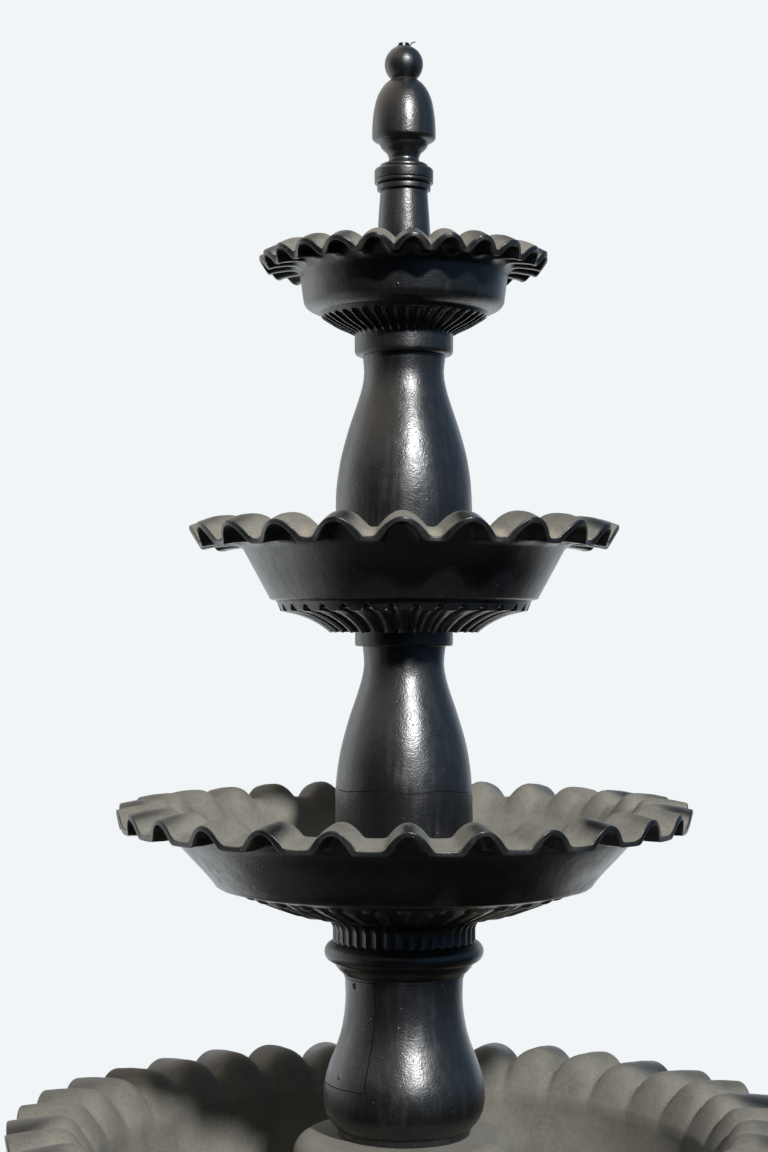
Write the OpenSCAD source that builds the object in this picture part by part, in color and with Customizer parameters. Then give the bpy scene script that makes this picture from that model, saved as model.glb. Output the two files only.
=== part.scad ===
// Tiered garden fountain: a scalloped basin, three scalloped bowls on baluster
// columns, a spout post with an acorn finial, and the pump, valve and riser inside.
// Millimetres, +Z up. The origin is on the ground, on the fountain's axis.

/* [Basin] */
// Outer radius of the basin's scalloped rim
basin_rim_r = 550; // [520:1:600]
// Height of the rim's edge above the ground, between two crests
basin_rim_z = 380; // [350:1:410]
// Height of the basin's floor above the ground
basin_floor_z = 120; // [100:1:150]
// Radius of the basin's mouth, at the inside of its wall
basin_mouth_r = 430; // [410:1:450]
// Thickness of the basin's wall and floor
basin_wall = 8; // [6:0.5:12]
// Outer radius of the foot ring
basin_foot_r = 300; // [270:1:330]
// Width of the foot ring's tread
basin_tread = 30; // [20:1:45]
// Height of the foot ring's straight edge
basin_foot_h = 14; // [8:1:24]
// Depth of the hollow moulding above the foot ring
basin_foot_neck = 22; // [12:1:26]
// Number of crests round the basin's rim
basin_crests = 36; // [24:1:44]
// Height of a crest at the basin's rim
basin_crest_h = 37; // [20:1:45]
// Droop of the basin's rim, from its highest ring out to its edge
basin_droop = 12; // [2:1:16]
// Share of the pitch that one crest of the basin's rim covers
basin_crest_share = 0.88; // [0.5:0.01:0.97]
// Power that shapes a crest of the basin's rim: a low one is broad, a high one is pointed
basin_crest_power = 0.5; // [0.4:0.05:2]
// Direction of one crest of the basin's rim, from +X towards +Y
basin_crest_az = 84; // [0:0.1:359]
// Set-back of the basin's edge between two crests
basin_lean = 6; // [0:1:16]
// Height of the rim's edge above the top of the basin's wall
basin_lift = 20; // [14:1:26]
// Radius of the drain hole's centre from the axis
drain_pitch_r = 210; // [195:1:225]
// Radius of the drain's bore
drain_bore_r = 15; // [10:0.5:20]
// Thickness of the drain bush's wall
drain_wall = 4; // [3:0.5:6]
// Width of the drain bush's flange beyond its bore
drain_flange_w = 14; // [10:0.5:18]
// Length of the drain bush below the basin
drain_tail = 14; // [12:1:24]

/* [Plinth] */
// Outer radius of the drum that covers the pump
plinth_r = 154; // [148:1:165]
// Height of the drum
plinth_h = 273; // [250:1:300]
// Radius of the drum's rounded shoulder
plinth_shoulder = 25; // [15:1:35]
// Thickness of the drum's wall
plinth_wall = 9; // [6:0.5:12]
// Thickness of the drum's top
plinth_top = 16; // [12:1:24]
// Width of a water intake at the drum's lower edge
intake_w = 44; // [30:1:60]
// Height of a water intake
intake_h = 26; // [15:1:35]

/* [Lower column] */
// Height of the lower column
low_col_h = 219; // [205:1:240]
// Radius of the column's foot ring
low_col_foot_r = 92; // [88:0.5:98]
// Height of the column's foot ring
low_col_foot_h = 9; // [6:0.5:14]
// Largest radius of the column's belly
low_col_belly_r = 112.5; // [106:0.5:120]
// Height of the belly above the column's base
low_col_belly_z = 52; // [46:1:60]
// Radius of the column's waist
low_col_waist_r = 81.5; // [78:0.5:88]
// Height of the waist above the column's base
low_col_waist_z = 196; // [180:1:200]
// Radius of the column's top
low_col_top_r = 82.5; // [80:0.5:90]
// Thickness of the columns' walls
col_wall = 8; // [6:0.5:10]

/* [Access panel] */
// Direction that the panel faces, from +X towards +Y
panel_az = 214; // [0:1:359]
// Angle that the panel covers
panel_sweep = 54; // [40:1:64]
// Height of the panel's lower edge above the column's base
panel_z = 74; // [66:1:84]
// Width of the seam round the panel
panel_seam = 1.2; // [0.6:0.1:2]
// Radius of a panel screw's shank
panel_screw_r = 2.5; // [2:0.1:3]
// Distance of the lower panel screw from the panel's lower edge
panel_screw_low = 16; // [10:0.5:18]
// Distance of the upper panel screw from the panel's upper edge
panel_screw_high = 8; // [7.5:0.5:12]

/* [Lower collar] */
// Height of the collar between the lower column and the lower bowl
collar_h = 48; // [44:1:56]
// Outer radius of the collar's round moulding
collar_torus_r = 111; // [106:0.5:118]
// Radius of the moulding's section
collar_bead_r = 14; // [10:0.5:15]
// Outer radius of the collar's lower moulding
collar_step_r = 97; // [92:0.5:98]
// Height of the collar's lower moulding
collar_step_h = 19; // [12:0.5:19.5]

/* [Lower bowl] */
// Outer radius of the lower bowl's rim
low_rim_r = 400; // [380:1:430]
// Height of the rim's edge above the bowl's bottom, between two crests
low_rim_z = 164; // [158:1:180]
// Radius of the bowl's neck
low_neck_r = 99.5; // [96:0.5:104]
// Height of the bowl's neck
low_neck_h = 18; // [10:1:22]
// Height of the bowl's floor above its bottom
low_seat_z = 46; // [44:1:52]
// Radius where the shallow underside turns up into the wall
low_turn_r = 262; // [252:1:272]
// Height of that turn above the bowl's bottom
low_turn_z = 84; // [78:1:90]
// Radius of the bowl's mouth, at the inside of its wall
low_mouth_r = 313; // [305:1:323]
// Number of crests round the lower bowl's rim
low_crests = 27; // [20:1:36]
// Height of a crest at the lower bowl's rim
low_crest_h = 25; // [20:1:40]
// Droop of the lower bowl's rim, from its highest ring out to its edge
low_droop = 11; // [2:1:16]
// Share of the pitch that one crest of the lower bowl's rim covers
low_crest_share = 0.62; // [0.5:0.01:0.97]
// Power that shapes a crest of the lower bowl's rim: a low one is broad, a high one is pointed
low_crest_power = 0.7; // [0.4:0.05:2]
// Direction of one crest of the lower bowl's rim, from +X towards +Y
low_crest_az = 270.7; // [0:0.1:359]
// Set-back of the lower bowl's edge between two crests
low_lean = 6; // [0:1:16]
// Height of the rim's edge above the top of the lower bowl's wall
low_lift = 14; // [8:1:20]

/* [Columns] */
// Height of the middle and upper columns
col_h = 364; // [340:1:390]
// Radius of a column's top
col_top_r = 56; // [52:0.5:60]
// Radius of a column's base
col_base_r = 95.5; // [92:0.5:99]
// Length of the straight neck at a column's top
col_neck_h = 21; // [12:1:30]
// Height of the straight base band of a column
col_band_h = 149; // [130:1:170]

/* [Middle bowl] */
// Outer radius of the middle bowl's rim
mid_rim_r = 300; // [285:1:330]
// Height of the rim's edge above the bowl's bottom, between two crests
mid_rim_z = 142; // [136:1:156]
// Radius of the bowl's collar
mid_collar_r = 68.5; // [66:0.5:74]
// Height of the bowl's collar
mid_collar_h = 20; // [16:1:26]
// Radius of the flat underside, inside the flutes
mid_under_r = 103; // [98:1:112]
// Radius of the step at the foot of the wall
mid_step_r = 178; // [172:1:184]
// Height of the step above the bowl's bottom
mid_step_z = 49; // [46:1:56]
// Radius of the wall's lower edge
mid_wall_r = 187; // [182:1:196]
// Height of the bowl's floor above its bottom
mid_seat_z = 42; // [40:1:45]
// Radius of the bowl's mouth, at the inside of its wall
mid_mouth_r = 215; // [208:1:222]
// Number of crests round the middle bowl's rim
mid_crests = 21; // [18:1:32]
// Height of a crest at the middle bowl's rim
mid_crest_h = 26; // [15:1:34]
// Droop of the middle bowl's rim, from its highest ring out to its edge
mid_droop = 14; // [2:1:18]
// Share of the pitch that one crest of the middle bowl's rim covers
mid_crest_share = 0.8; // [0.5:0.01:0.97]
// Power that shapes a crest of the middle bowl's rim: a low one is broad, a high one is pointed
mid_crest_power = 0.8; // [0.4:0.05:2]
// Direction of one crest of the middle bowl's rim, from +X towards +Y
mid_crest_az = 270; // [0:0.1:359]
// Set-back of the middle bowl's edge between two crests
mid_lean = 14; // [0:1:20]
// Height of the rim's edge above the top of the middle bowl's wall
mid_lift = 7; // [4:1:14]

/* [Upper bowl] */
// Outer radius of the upper bowl's rim
up_rim_r = 203; // [190:1:215]
// Height of the rim's edge above the bowl's bottom, between two crests
up_rim_z = 123; // [117:1:134]
// Radius of the bowl's collar
up_collar_r = 69; // [66:0.5:74]
// Height of the bowl's collar
up_collar_h = 29; // [24:1:34]
// Radius at the top of the fluted cone
up_cone_r = 119; // [112:1:124]
// Height at the top of the fluted cone
up_cone_z = 60; // [55:1:65]
// Height of the bowl's floor above its bottom
up_seat_z = 50; // [47:1:52]
// Radius of the bowl's mouth, at the inside of its wall
up_mouth_r = 137; // [132:1:142]
// Number of crests round the upper bowl's rim
up_crests = 24; // [18:1:32]
// Height of a crest at the upper bowl's rim
up_crest_h = 17; // [12:1:26]
// Droop of the upper bowl's rim, from its highest ring out to its edge
up_droop = 14; // [2:1:18]
// Share of the pitch that one crest of the upper bowl's rim covers
up_crest_share = 0.97; // [0.5:0.01:0.97]
// Power that shapes a crest of the upper bowl's rim: a low one is broad, a high one is pointed
up_crest_power = 0.75; // [0.4:0.05:2]
// Direction of one crest of the upper bowl's rim, from +X towards +Y
up_crest_az = 273.2; // [0:0.1:359]
// Set-back of the upper bowl's edge between two crests
up_lean = 11; // [0:1:16]
// Height of the rim's edge above the top of the upper bowl's wall
up_lift = 7; // [4:1:14]

/* [Spout post and finial] */
// Height of the spout post
post_h = 182; // [165:1:200]
// Radius of the post's base
post_base_r = 42; // [40:0.5:46]
// Radius of the post below its collar
post_top_r = 33; // [31:0.5:36]
// Thickness of the post's wall
post_wall = 6; // [4:0.5:8]
// Height of the post's collar
post_collar_h = 32; // [28:1:38]
// Radius of the post's collar
post_collar_r = 41.3; // [39:0.1:45]
// Height of the acorn
acorn_h = 126; // [115:1:135]
// Largest radius of the acorn, at its lip
acorn_r = 44.7; // [42:0.1:48]
// Radius of the acorn's neck, under its cup
acorn_neck_r = 21; // [19:0.5:24]
// Radius of the top ball
ball_r = 27; // [23:0.5:30]
// Radius of the jet nozzle's tube
nozzle_r = 7.6; // [6:0.1:8]
// Height of the nozzle's tip above the top of the ball
nozzle_proud = 3; // [2:0.5:10]
// Radius of the wire clip on the nozzle
clip_wire_r = 0.8; // [0.6:0.1:1.2]

/* [Riser and valve] */
// Outer radius of the riser pipe
riser_r = 10.65; // [10.2:0.05:11]
// Radius of the riser pipe's bore
riser_bore_r = 8; // [7.5:0.1:8.5]
// Outer radius of a pipe coupling
coupling_r = 16; // [15:0.5:18]
// Length of a pipe coupling
coupling_l = 40; // [30:1:50]
// Width of a lock nut across its flats
nut_af = 32; // [30:1:36]
// Thickness of a lock nut
nut_h = 10; // [8:0.5:12]
// Outer radius of the washers and seals under the nuts
washer_r = 22; // [20:0.5:24]
// Thickness of a steel washer
washer_h = 2.5; // [2:0.1:3]
// Thickness of a rubber seal
seal_h = 3; // [2:0.1:4]
// Height of the valve's centre above the lower column's base
valve_z = 147; // [142:1:152]
// Radius of the valve's barrel
valve_r = 20; // [19:0.5:23]
// Length of the valve's barrel
valve_l = 56; // [50:1:60]
// Radius of the valve's ball
valve_ball_r = 14; // [13:0.5:15]
// Radius of the valve's stem
stem_r = 4; // [3.5:0.1:4.5]
// Length of the valve's lever, from the stem's axis
lever_l = 44; // [36:1:46]
// Thickness of the valve's lever
lever_t = 4; // [3:0.5:5]
// Width of the valve's lever
lever_w = 13; // [12:0.5:15]

/* [Pump] */
// Height of the pump's rubber feet
pump_foot_h = 12; // [8:1:18]
// Height of the pump's housing
pump_h = 100; // [96:1:110]
// Width of the pump's housing
pump_w = 96; // [92:1:104]
// Length of the motor, behind the impeller chamber
motor_l = 104; // [98:1:110]
// Radius of the impeller chamber
chamber_r = 36; // [34:0.5:40]
// Length of the impeller chamber
chamber_l = 36; // [34:1:40]
// Radius of the impeller
impeller_r = 31; // [26:0.5:32]
// Number of impeller vanes
impeller_vanes = 5; // [3:1:7]
// Radius of the motor's magnet
magnet_r = 20; // [16:0.5:21]
// Radius of the pump's shaft
shaft_r = 3; // [2.5:0.1:3.5]
// Length of the strainer in front of the pump
strainer_l = 48; // [40:1:55]
// Number of slots round the strainer
strainer_slots = 14; // [8:1:18]
// Outer radius of the supply hose
hose_r = 16; // [15.5:0.1:18]
// Radius of the hose's bore
hose_bore_r = 12.2; // [11.8:0.1:12.6]

/* [Fits] */
// Radial clearance of a spigot in its socket
spigot_gap = 0.5; // [0.3:0.1:1]
// Height of a spigot
spigot_h = 8; // [5:1:12]
// Radial clearance of a pipe, bolt or nut
thread_gap = 0.1; // [0.05:0.01:0.2]
// Radial clearance of a running shaft
run_gap = 0.05; // [0.02:0.01:0.1]
// Clearance between pieces that move past each other
move_gap = 0.4; // [0.3:0.05:0.8]

/* [Hidden] */
$fn = 96;
eps = 1;
black = "#15171a";
rubber_black = "#1c1c1c";
brass = "#b0893f";
zinc = "#9a9da0";
dust_grey = "#8d867b";
pump_blue = "#24303c";

// Floors, spigots and bores that several pieces share
floor_t = 12;
bowl_wall = 9;
spigot_wall = 7;
basin_bead = 8;
mid_chamfer = 4.5;
mid_step_h = 14;
up_bead = 7;
up_turn = 17;
ball_seat_r = 17;
hole_r = riser_r + move_gap;
col_bore = col_top_r - col_wall;
col_base_bore = col_base_r - col_wall;
post_base_bore = post_base_r - post_wall;
skirt_r = low_col_waist_r - col_wall - spigot_gap;
skirt_h = 26;
collar_bore = skirt_r - col_wall;
low_spigot = collar_bore - spigot_gap;
col_spigot = col_bore - spigot_gap;
post_spigot = post_top_r - post_wall - spigot_gap;
finial_bore = riser_r + spigot_gap;

// Heights of the pieces in the stack
plinth_z = basin_floor_z;
low_col_z = plinth_z + plinth_h;
collar_z = low_col_z + low_col_h;
low_bowl_z = collar_z + collar_h;
mid_col_z = low_bowl_z + low_seat_z;
mid_bowl_z = mid_col_z + col_h;
up_col_z = mid_bowl_z + mid_seat_z;
up_bowl_z = up_col_z + col_h;
post_z = up_bowl_z + up_seat_z;
post_collar_z = post_z + post_h;
acorn_z = post_collar_z + post_collar_h;
ball_z = acorn_z + acorn_h + sqrt(ball_r * ball_r - ball_seat_r * ball_seat_r);
nozzle_tip_z = ball_z + ball_r + nozzle_proud;

// The lower column's inside flange and the bolts that hold it on the plinth
flange_r = 56;
flange_h = 10;
anchor_r = 5;
anchor_pitch_r = 70;
anchor_head_h = 7;
anchor_head_af = 17;
anchor_count = 4;
anchor_az = panel_az + 180 / anchor_count;
anchor_nut_h = 8;
anchor_tail = 11;

// The valve in the lower column and the hose below it
valve_c = low_col_z + valve_z;
valve_top = valve_c + valve_l / 2;
valve_end_h = 15;
valve_end_af = 40;
barb_l = 30;
barb_r = hose_bore_r - 0.2;
barb_bore_r = 8;
valve_barb_z = valve_c - valve_l / 2 - valve_end_h;
riser_z0 = valve_top - 2;
boss_r = 9;
boss_end = valve_r + 10;
lever_x = boss_end + 5;
stem_end = lever_x + lever_t + 6;
stem_seat = 9;
lever_nut_af = 13;
lever_nut_h = 5;
grip_t = 1.6;
grip_l = 24;

// The pump under the plinth, its shaft along X
pump_z = basin_floor_z + pump_foot_h;
shaft_z = pump_z + pump_h / 2;
chamber_x0 = -chamber_l * 0.6;
chamber_x1 = chamber_x0 + chamber_l;
motor_x1 = chamber_x1 + motor_l;
motor_wall = 12;
cover_t = 6;
cover_r = chamber_r + 8;
cover_x = chamber_x0 - cover_t;
cover_eye_r = 20;
bearing_r = 7;
strainer_wall = 3;
outlet_top = pump_z + pump_h;
outlet_stub_r = 11;
outlet_stub_l = 12;
outlet_hex_h = 10;
hose_z0 = outlet_top + outlet_hex_h + 1;
hose_z1 = valve_barb_z - 1;
band_h = 9;
band_t = 1.2;
band_inset = 8;
band_screw_w = 12;
band_screw_l = 9;
pump_edge_r = 12;
pump_foot_r = 9;
pump_foot_inset = 16;
gland_af = 18;
gland_hex_h = 7;
gland_r = 7;
gland_l = 18;
gland_bore_r = 4;
hub_r = 9;
vane_t = 3;
plate_t = 3;
hub_gap = 2;
slot_w = 5;
slot_end = 7;
drain_lip_h = 4;
drain_nut_w = 6;
drain_nut_room = 2;
drain_nut_af = 2 * (drain_bore_r + drain_wall + drain_nut_w);
plug_l = 16;
plug_knob_h = 24;

// Where the riser's lengths meet, inside the two upper columns
joint_1_z = mid_col_z + col_h / 2;
joint_2_z = up_col_z + col_h / 2;
riser_top_z = ball_z + 4;
nozzle_flange_h = 4;

// Rims: stations across a crest from flank to flank, the edge's thickness, the flange's rows as
// shares, [way out from the mouth, rise to the peak, crest height], top and underside, and the
// share of the droop that the underside follows
crest_stations = [-1, -0.82, -0.42, 0, 0.42, 0.82, 1];
rim_t = 6;
joint_lap = 1;
fade_rows = [[0.12, 0.62, 0.3], [0.27, 1, 0.72], [0.66, 0.8, 0.97]];
under_rows = [[0.66, 0.8, 0.97], [0.3, 0.95, 0.6]];
under_droop = 0.35;

function bezier(a, b, c, d, n = 8) =
    [for (i = [0:n]) let (t = i / n, u = 1 - t)
        u * u * u * a + 3 * u * u * t * b + 3 * u * t * t * c + t * t * t * d];

// Curve from a to b, its two control points as shares of the way in radius and in height
function curve(a, b, p, q, n = 8) =
    bezier(a, a + [p[0] * (b[0] - a[0]), p[1] * (b[1] - a[1])],
           a + [q[0] * (b[0] - a[0]), q[1] * (b[1] - a[1])], b, n);

// A list without its first point, where a curve goes on from another
function rest(list) = [for (i = [1:len(list) - 1]) list[i]];

function arc(c, r, from, to, n = 8) =
    [for (i = [0:n]) let (a = from + (to - from) * i / n) c + r * [cos(a), sin(a)]];

// Radius and height of one row of the flange: way is the share from the mouth to the edge
function rim_row(mouth, joint_z, rim_r, peak_z, way, rise) =
    [mouth + way * (rim_r - mouth), joint_z + rise * (peak_z - joint_z)];

module ring(r_in, r_out, z, h) {
    translate([0, 0, z])
        rotate_extrude()
            translate([r_in, 0])
                square([r_out - r_in, h]);
}

module hex(af, h) {
    cylinder(r = af / 2 / cos(30), h = h, $fn = 6);
}

module hex_nut(af, bore_r, h) {
    difference() {
        hex(af, h);
        translate([0, 0, -eps])
            cylinder(r = bore_r, h = h + 2 * eps);
    }
}

// Stands a piece that is drawn along +Z so that it points the way the panel faces
module facing_panel(z) {
    translate([0, 0, z])
        rotate([0, 90, panel_az])
            children();
}

// Drooping scalloped flange, standing on the flat top of a bowl's wall
module scalloped_rim(mouth_r, wall, lift, rim_r, rim_z, droop, lean, crest_h, crests, share, power, az) {
    joint_z = rim_z - lift;
    pitch = 360 / crests;
    squeeze = 1 - rim_t / (share * PI * rim_r / crests);
    top = [for (f = fade_rows)
        [rim_row(mouth_r, joint_z, rim_r, rim_z + droop, f[0], f[1]), 0, f[2], 1, 0]];
    below = [for (f = under_rows)
        [rim_row(mouth_r, joint_z, rim_r, rim_z + under_droop * droop, f[0], f[1]), rim_t, f[2], squeeze, 0]];
    rows = concat(
        [[[mouth_r + joint_lap, joint_z], 0, 0, 1, 0]],
        top,
        [[[rim_r, rim_z], 0, 1, 1, lean], [[rim_r, rim_z], rim_t, 1, squeeze, lean]],
        below,
        [[[mouth_r + wall - joint_lap, joint_z], 0, 0, squeeze, 0]]);
    stations = [for (k = [0:crests - 1], s = crest_stations) [k, s]];
    across = len(stations);
    around = len(rows);
    points = [for (row = rows, st = stations)
        let (a = az + pitch * (st[0] + st[1] * share / 2 * row[3]),
             crest = pow(cos(90 * st[1]), power),
             r = row[0][0] - row[4] * (1 - crest))
        [r * cos(a), r * sin(a), row[0][1] - row[1] + row[2] * crest_h * crest]];
    faces = [for (i = [0:around - 1], j = [0:across - 1], half = [0, 1])
        let (i2 = (i + 1) % around, j2 = (j + 1) % across)
        half == 0 ? [i * across + j, i * across + j2, i2 * across + j2]
                  : [i * across + j, i2 * across + j2, i2 * across + j]];
    polyhedron(points = points, faces = faces);
}

// Outline of the middle and upper columns' outside, from the base up
function column_side(inset) = concat(
    [[col_base_r - inset, 0]],
    bezier([col_base_r - inset, col_band_h], [col_base_r - inset, col_band_h + 100],
           [col_top_r - inset, col_h - col_neck_h - 45], [col_top_r - inset, col_h - col_neck_h], 12),
    [[col_top_r - inset, col_h]]);

// Outline of the lower column's outside, from the base up
function low_column_side(inset) = concat(
    [[low_col_foot_r - inset, 0]],
    bezier([low_col_foot_r - inset, low_col_foot_h],
           [low_col_foot_r - inset + 11, low_col_foot_h + 9],
           [low_col_belly_r - inset, low_col_belly_z - 22],
           [low_col_belly_r - inset, low_col_belly_z]),
    bezier([low_col_belly_r - inset, low_col_belly_z],
           [low_col_belly_r - inset, low_col_belly_z + 50],
           [low_col_waist_r - inset, low_col_waist_z - 75],
           [low_col_waist_r - inset, low_col_waist_z], 12),
    [[low_col_top_r - inset, low_col_h]]);

function backwards(list) = [for (i = [len(list) - 1:-1:0]) list[i]];

module low_column_wall() {
    polygon(concat(low_column_side(0), backwards(low_column_side(col_wall))));
}

// Angular slice round the panel's direction, from the lower column's inside to clear of it
module panel_slice(r_in, r_out, sweep, z, h) {
    translate([0, 0, z])
        rotate([0, 0, panel_az - sweep / 2])
            rotate_extrude(angle = sweep)
                translate([r_in, 0])
                    square([r_out - r_in, h]);
}

panel_h = low_col_h - panel_z;
panel_screw_heights = [panel_z + panel_screw_low, low_col_h - panel_screw_high];
panel_face_r = [for (z = panel_screw_heights) lookup(z, [for (p = low_column_side(0)) [p[1], p[0]]])];
panel_seam_deg = panel_seam / low_col_waist_r * 180 / PI;
panel_head_r = panel_screw_r + 1.7;
panel_head_h = 3;
panel_slot = 1.2;
panel_spot = 4;
panel_screw_l = 18;
lug_t = 8;
lug_sweep = 18;
lug_reach = 22;
lug_root = 14;

// Slice of the lower column's wall, between two insets, two heights and an angle
module wall_slice(inset_0, inset_1, sweep, z, h) {
    intersection() {
        rotate([0, 0, panel_az - sweep / 2])
            rotate_extrude(angle = sweep)
                polygon(concat(low_column_side(inset_0), backwards(low_column_side(inset_1))));
        translate([0, 0, z])
            cylinder(r = 2 * low_col_belly_r, h = h);
    }
}

module basin_foot() {
    under = basin_floor_z - basin_wall;
    inner = basin_foot_r - basin_tread;
    neck_r = basin_foot_r - basin_foot_neck;
    color(black)
    rotate_extrude()
        polygon(concat(
            [[inner, 0], [basin_foot_r, 0], [basin_foot_r, basin_foot_h]],
            bezier([basin_foot_r - basin_bead, basin_foot_h + basin_bead], [neck_r, under / 2],
                   [neck_r, under - 30], [basin_foot_r - basin_bead / 2, under - basin_bead]),
            [[basin_foot_r - basin_bead / 2, under], [inner, under]]));
}

module basin() {
    joint_z = basin_rim_z - basin_lift;
    under = basin_floor_z - basin_wall;
    spigot = basin_foot_r - basin_tread - spigot_gap;
    color(black)
    difference() {
        rotate_extrude()
            polygon(concat(
                [[0, under], [spigot - spigot_wall, under], [spigot - spigot_wall, under - spigot_h],
                 [spigot, under - spigot_h], [spigot, under]],
                curve([basin_foot_r, under], [basin_mouth_r + basin_wall, joint_z],
                      [0.57, 0.01], [0.97, 0.44], 14),
                curve([basin_mouth_r, joint_z], [drain_pitch_r + 50, basin_floor_z],
                      [0.03, 0.56], [0.41, 1], 12),
                [[0, basin_floor_z]]));
        translate([0, drain_pitch_r, under - eps])
            cylinder(r = drain_bore_r + drain_wall, h = basin_wall + 2 * eps);
        // Room for the drain's nut, where the ring inside the foot comes near it
        translate([0, drain_pitch_r, under - spigot_h - eps])
            cylinder(r = drain_nut_af / sqrt(3) + drain_nut_room, h = spigot_h + eps);
    }
}

module basin_rim() {
    color(black)
    scalloped_rim(basin_mouth_r, basin_wall, basin_lift, basin_rim_r, basin_rim_z, basin_droop,
                  basin_lean, basin_crest_h, basin_crests, basin_crest_share, basin_crest_power, basin_crest_az);
}

module drain_bush() {
    color(brass)
    translate([0, drain_pitch_r, 0]) {
        ring(drain_bore_r, drain_bore_r + drain_wall - thread_gap,
             basin_floor_z - basin_wall - drain_tail, basin_wall + drain_tail);
        ring(drain_bore_r, drain_bore_r + drain_flange_w, basin_floor_z, drain_lip_h);
    }
}

module drain_nut() {
    color(brass)
    translate([0, drain_pitch_r, basin_floor_z - basin_wall - nut_h])
        hex_nut(drain_nut_af, drain_bore_r + drain_wall + thread_gap, nut_h);
}

module drain_plug() {
    plug_r = drain_bore_r - move_gap;
    lip_r = drain_bore_r + drain_wall;
    stem = 4.5;
    knob_r = 9;
    color(rubber_black)
    translate([0, drain_pitch_r, basin_floor_z + drain_lip_h])
        rotate_extrude()
            polygon([[0, -plug_l], [plug_r - 1, -plug_l], [plug_r, 2 - plug_l], [plug_r, 0],
                     [lip_r, 0], [lip_r, 4], [stem, 5], [stem, plug_knob_h - 8],
                     [knob_r, plug_knob_h - 5], [knob_r, plug_knob_h - 1], [0, plug_knob_h]]);
}

module plinth() {
    top = plinth_h;
    inner = plinth_r - plinth_wall;
    color(dust_grey)
    translate([0, 0, plinth_z])
    difference() {
        rotate_extrude()
            polygon(concat(
                [[inner, 0], [plinth_r, 0]],
                arc([plinth_r - plinth_shoulder, top - plinth_shoulder], plinth_shoulder, 0, 90),
                [[flange_r - spigot_gap, top], [flange_r - spigot_gap, top + spigot_h],
                 [flange_r - spigot_gap - spigot_wall, top + spigot_h],
                 [flange_r - spigot_gap - spigot_wall, top], [hose_r + 5, top],
                 [hose_r + 5, top - plinth_top], [inner - plinth_shoulder, top - plinth_top],
                 [inner, top - plinth_top - plinth_shoulder]]));
        for (k = [0:2])
            rotate([0, 0, 30 + 60 * k])
                translate([-plinth_r - eps, -intake_w / 2, -eps])
                    cube([2 * plinth_r + 2 * eps, intake_w, intake_h + eps]);
        for (k = [0:anchor_count - 1])
            rotate([0, 0, anchor_az + 360 / anchor_count * k])
                translate([anchor_pitch_r, 0, top - plinth_top - eps])
                    cylinder(r = anchor_r + thread_gap, h = plinth_top + 2 * eps);
    }
}

module at_anchors() {
    for (k = [0:anchor_count - 1])
        rotate([0, 0, anchor_az + 360 / anchor_count * k])
            translate([anchor_pitch_r, 0, low_col_z])
                children();
}

module anchor_bolts() {
    color(zinc)
    at_anchors() {
        translate([0, 0, flange_h])
            hex(anchor_head_af, anchor_head_h);
        translate([0, 0, -plinth_top - anchor_tail])
            cylinder(r = anchor_r, h = plinth_top + anchor_tail + flange_h);
    }
}

module anchor_nuts() {
    color(zinc)
    at_anchors()
        translate([0, 0, -plinth_top - anchor_nut_h])
            hex_nut(anchor_head_af, anchor_r + thread_gap, anchor_nut_h);
}

module lower_column() {
    color(black)
    translate([0, 0, low_col_z])
    difference() {
        union() {
            difference() {
                union() {
                    rotate_extrude()
                        low_column_wall();
                    ring(flange_r, low_col_foot_r - col_wall + 2, 0, flange_h);
                }
                panel_slice(flange_r, low_col_belly_r + 20, panel_sweep, panel_z, panel_h + eps);
            }
            wall_slice(col_wall + move_gap, col_wall + move_gap + lug_t, lug_sweep,
                       panel_z - lug_root, lug_root + lug_reach);
            wall_slice(col_wall - 1, col_wall + move_gap + 1, lug_sweep, panel_z - lug_root, lug_root - 2);
        }
        facing_panel(panel_screw_heights[0])
            cylinder(r = panel_screw_r + move_gap, h = low_col_belly_r);
        for (k = [0:anchor_count - 1])
            rotate([0, 0, anchor_az + 360 / anchor_count * k])
                translate([anchor_pitch_r, 0, -eps])
                    cylinder(r = anchor_r + spigot_gap, h = flange_h + 2 * eps);
    }
}

module access_panel() {
    color(black)
    translate([0, 0, low_col_z])
    difference() {
        wall_slice(0, col_wall, panel_sweep - 2 * panel_seam_deg, panel_z + panel_seam,
                   panel_h - 2 * panel_seam);
        for (k = [0, 1])
            facing_panel(panel_screw_heights[k]) {
                cylinder(r = panel_screw_r + thread_gap, h = 2 * low_col_belly_r);
                translate([0, 0, panel_face_r[k] - panel_spot])
                    cylinder(r = panel_head_r + spigot_gap, h = low_col_belly_r);
            }
    }
}

module panel_screws() {
    color(zinc)
    for (k = [0, 1])
        facing_panel(low_col_z + panel_screw_heights[k])
            translate([0, 0, panel_face_r[k] - panel_spot])
                difference() {
                    union() {
                        cylinder(r = panel_head_r, h = panel_head_h);
                        translate([0, 0, -panel_screw_l])
                            cylinder(r = panel_screw_r, h = panel_screw_l + eps);
                    }
                    translate([-panel_head_r, -panel_slot / 2, panel_head_h - panel_slot])
                        cube([2 * panel_head_r, panel_slot, 2 * panel_slot]);
                }
}

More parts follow.
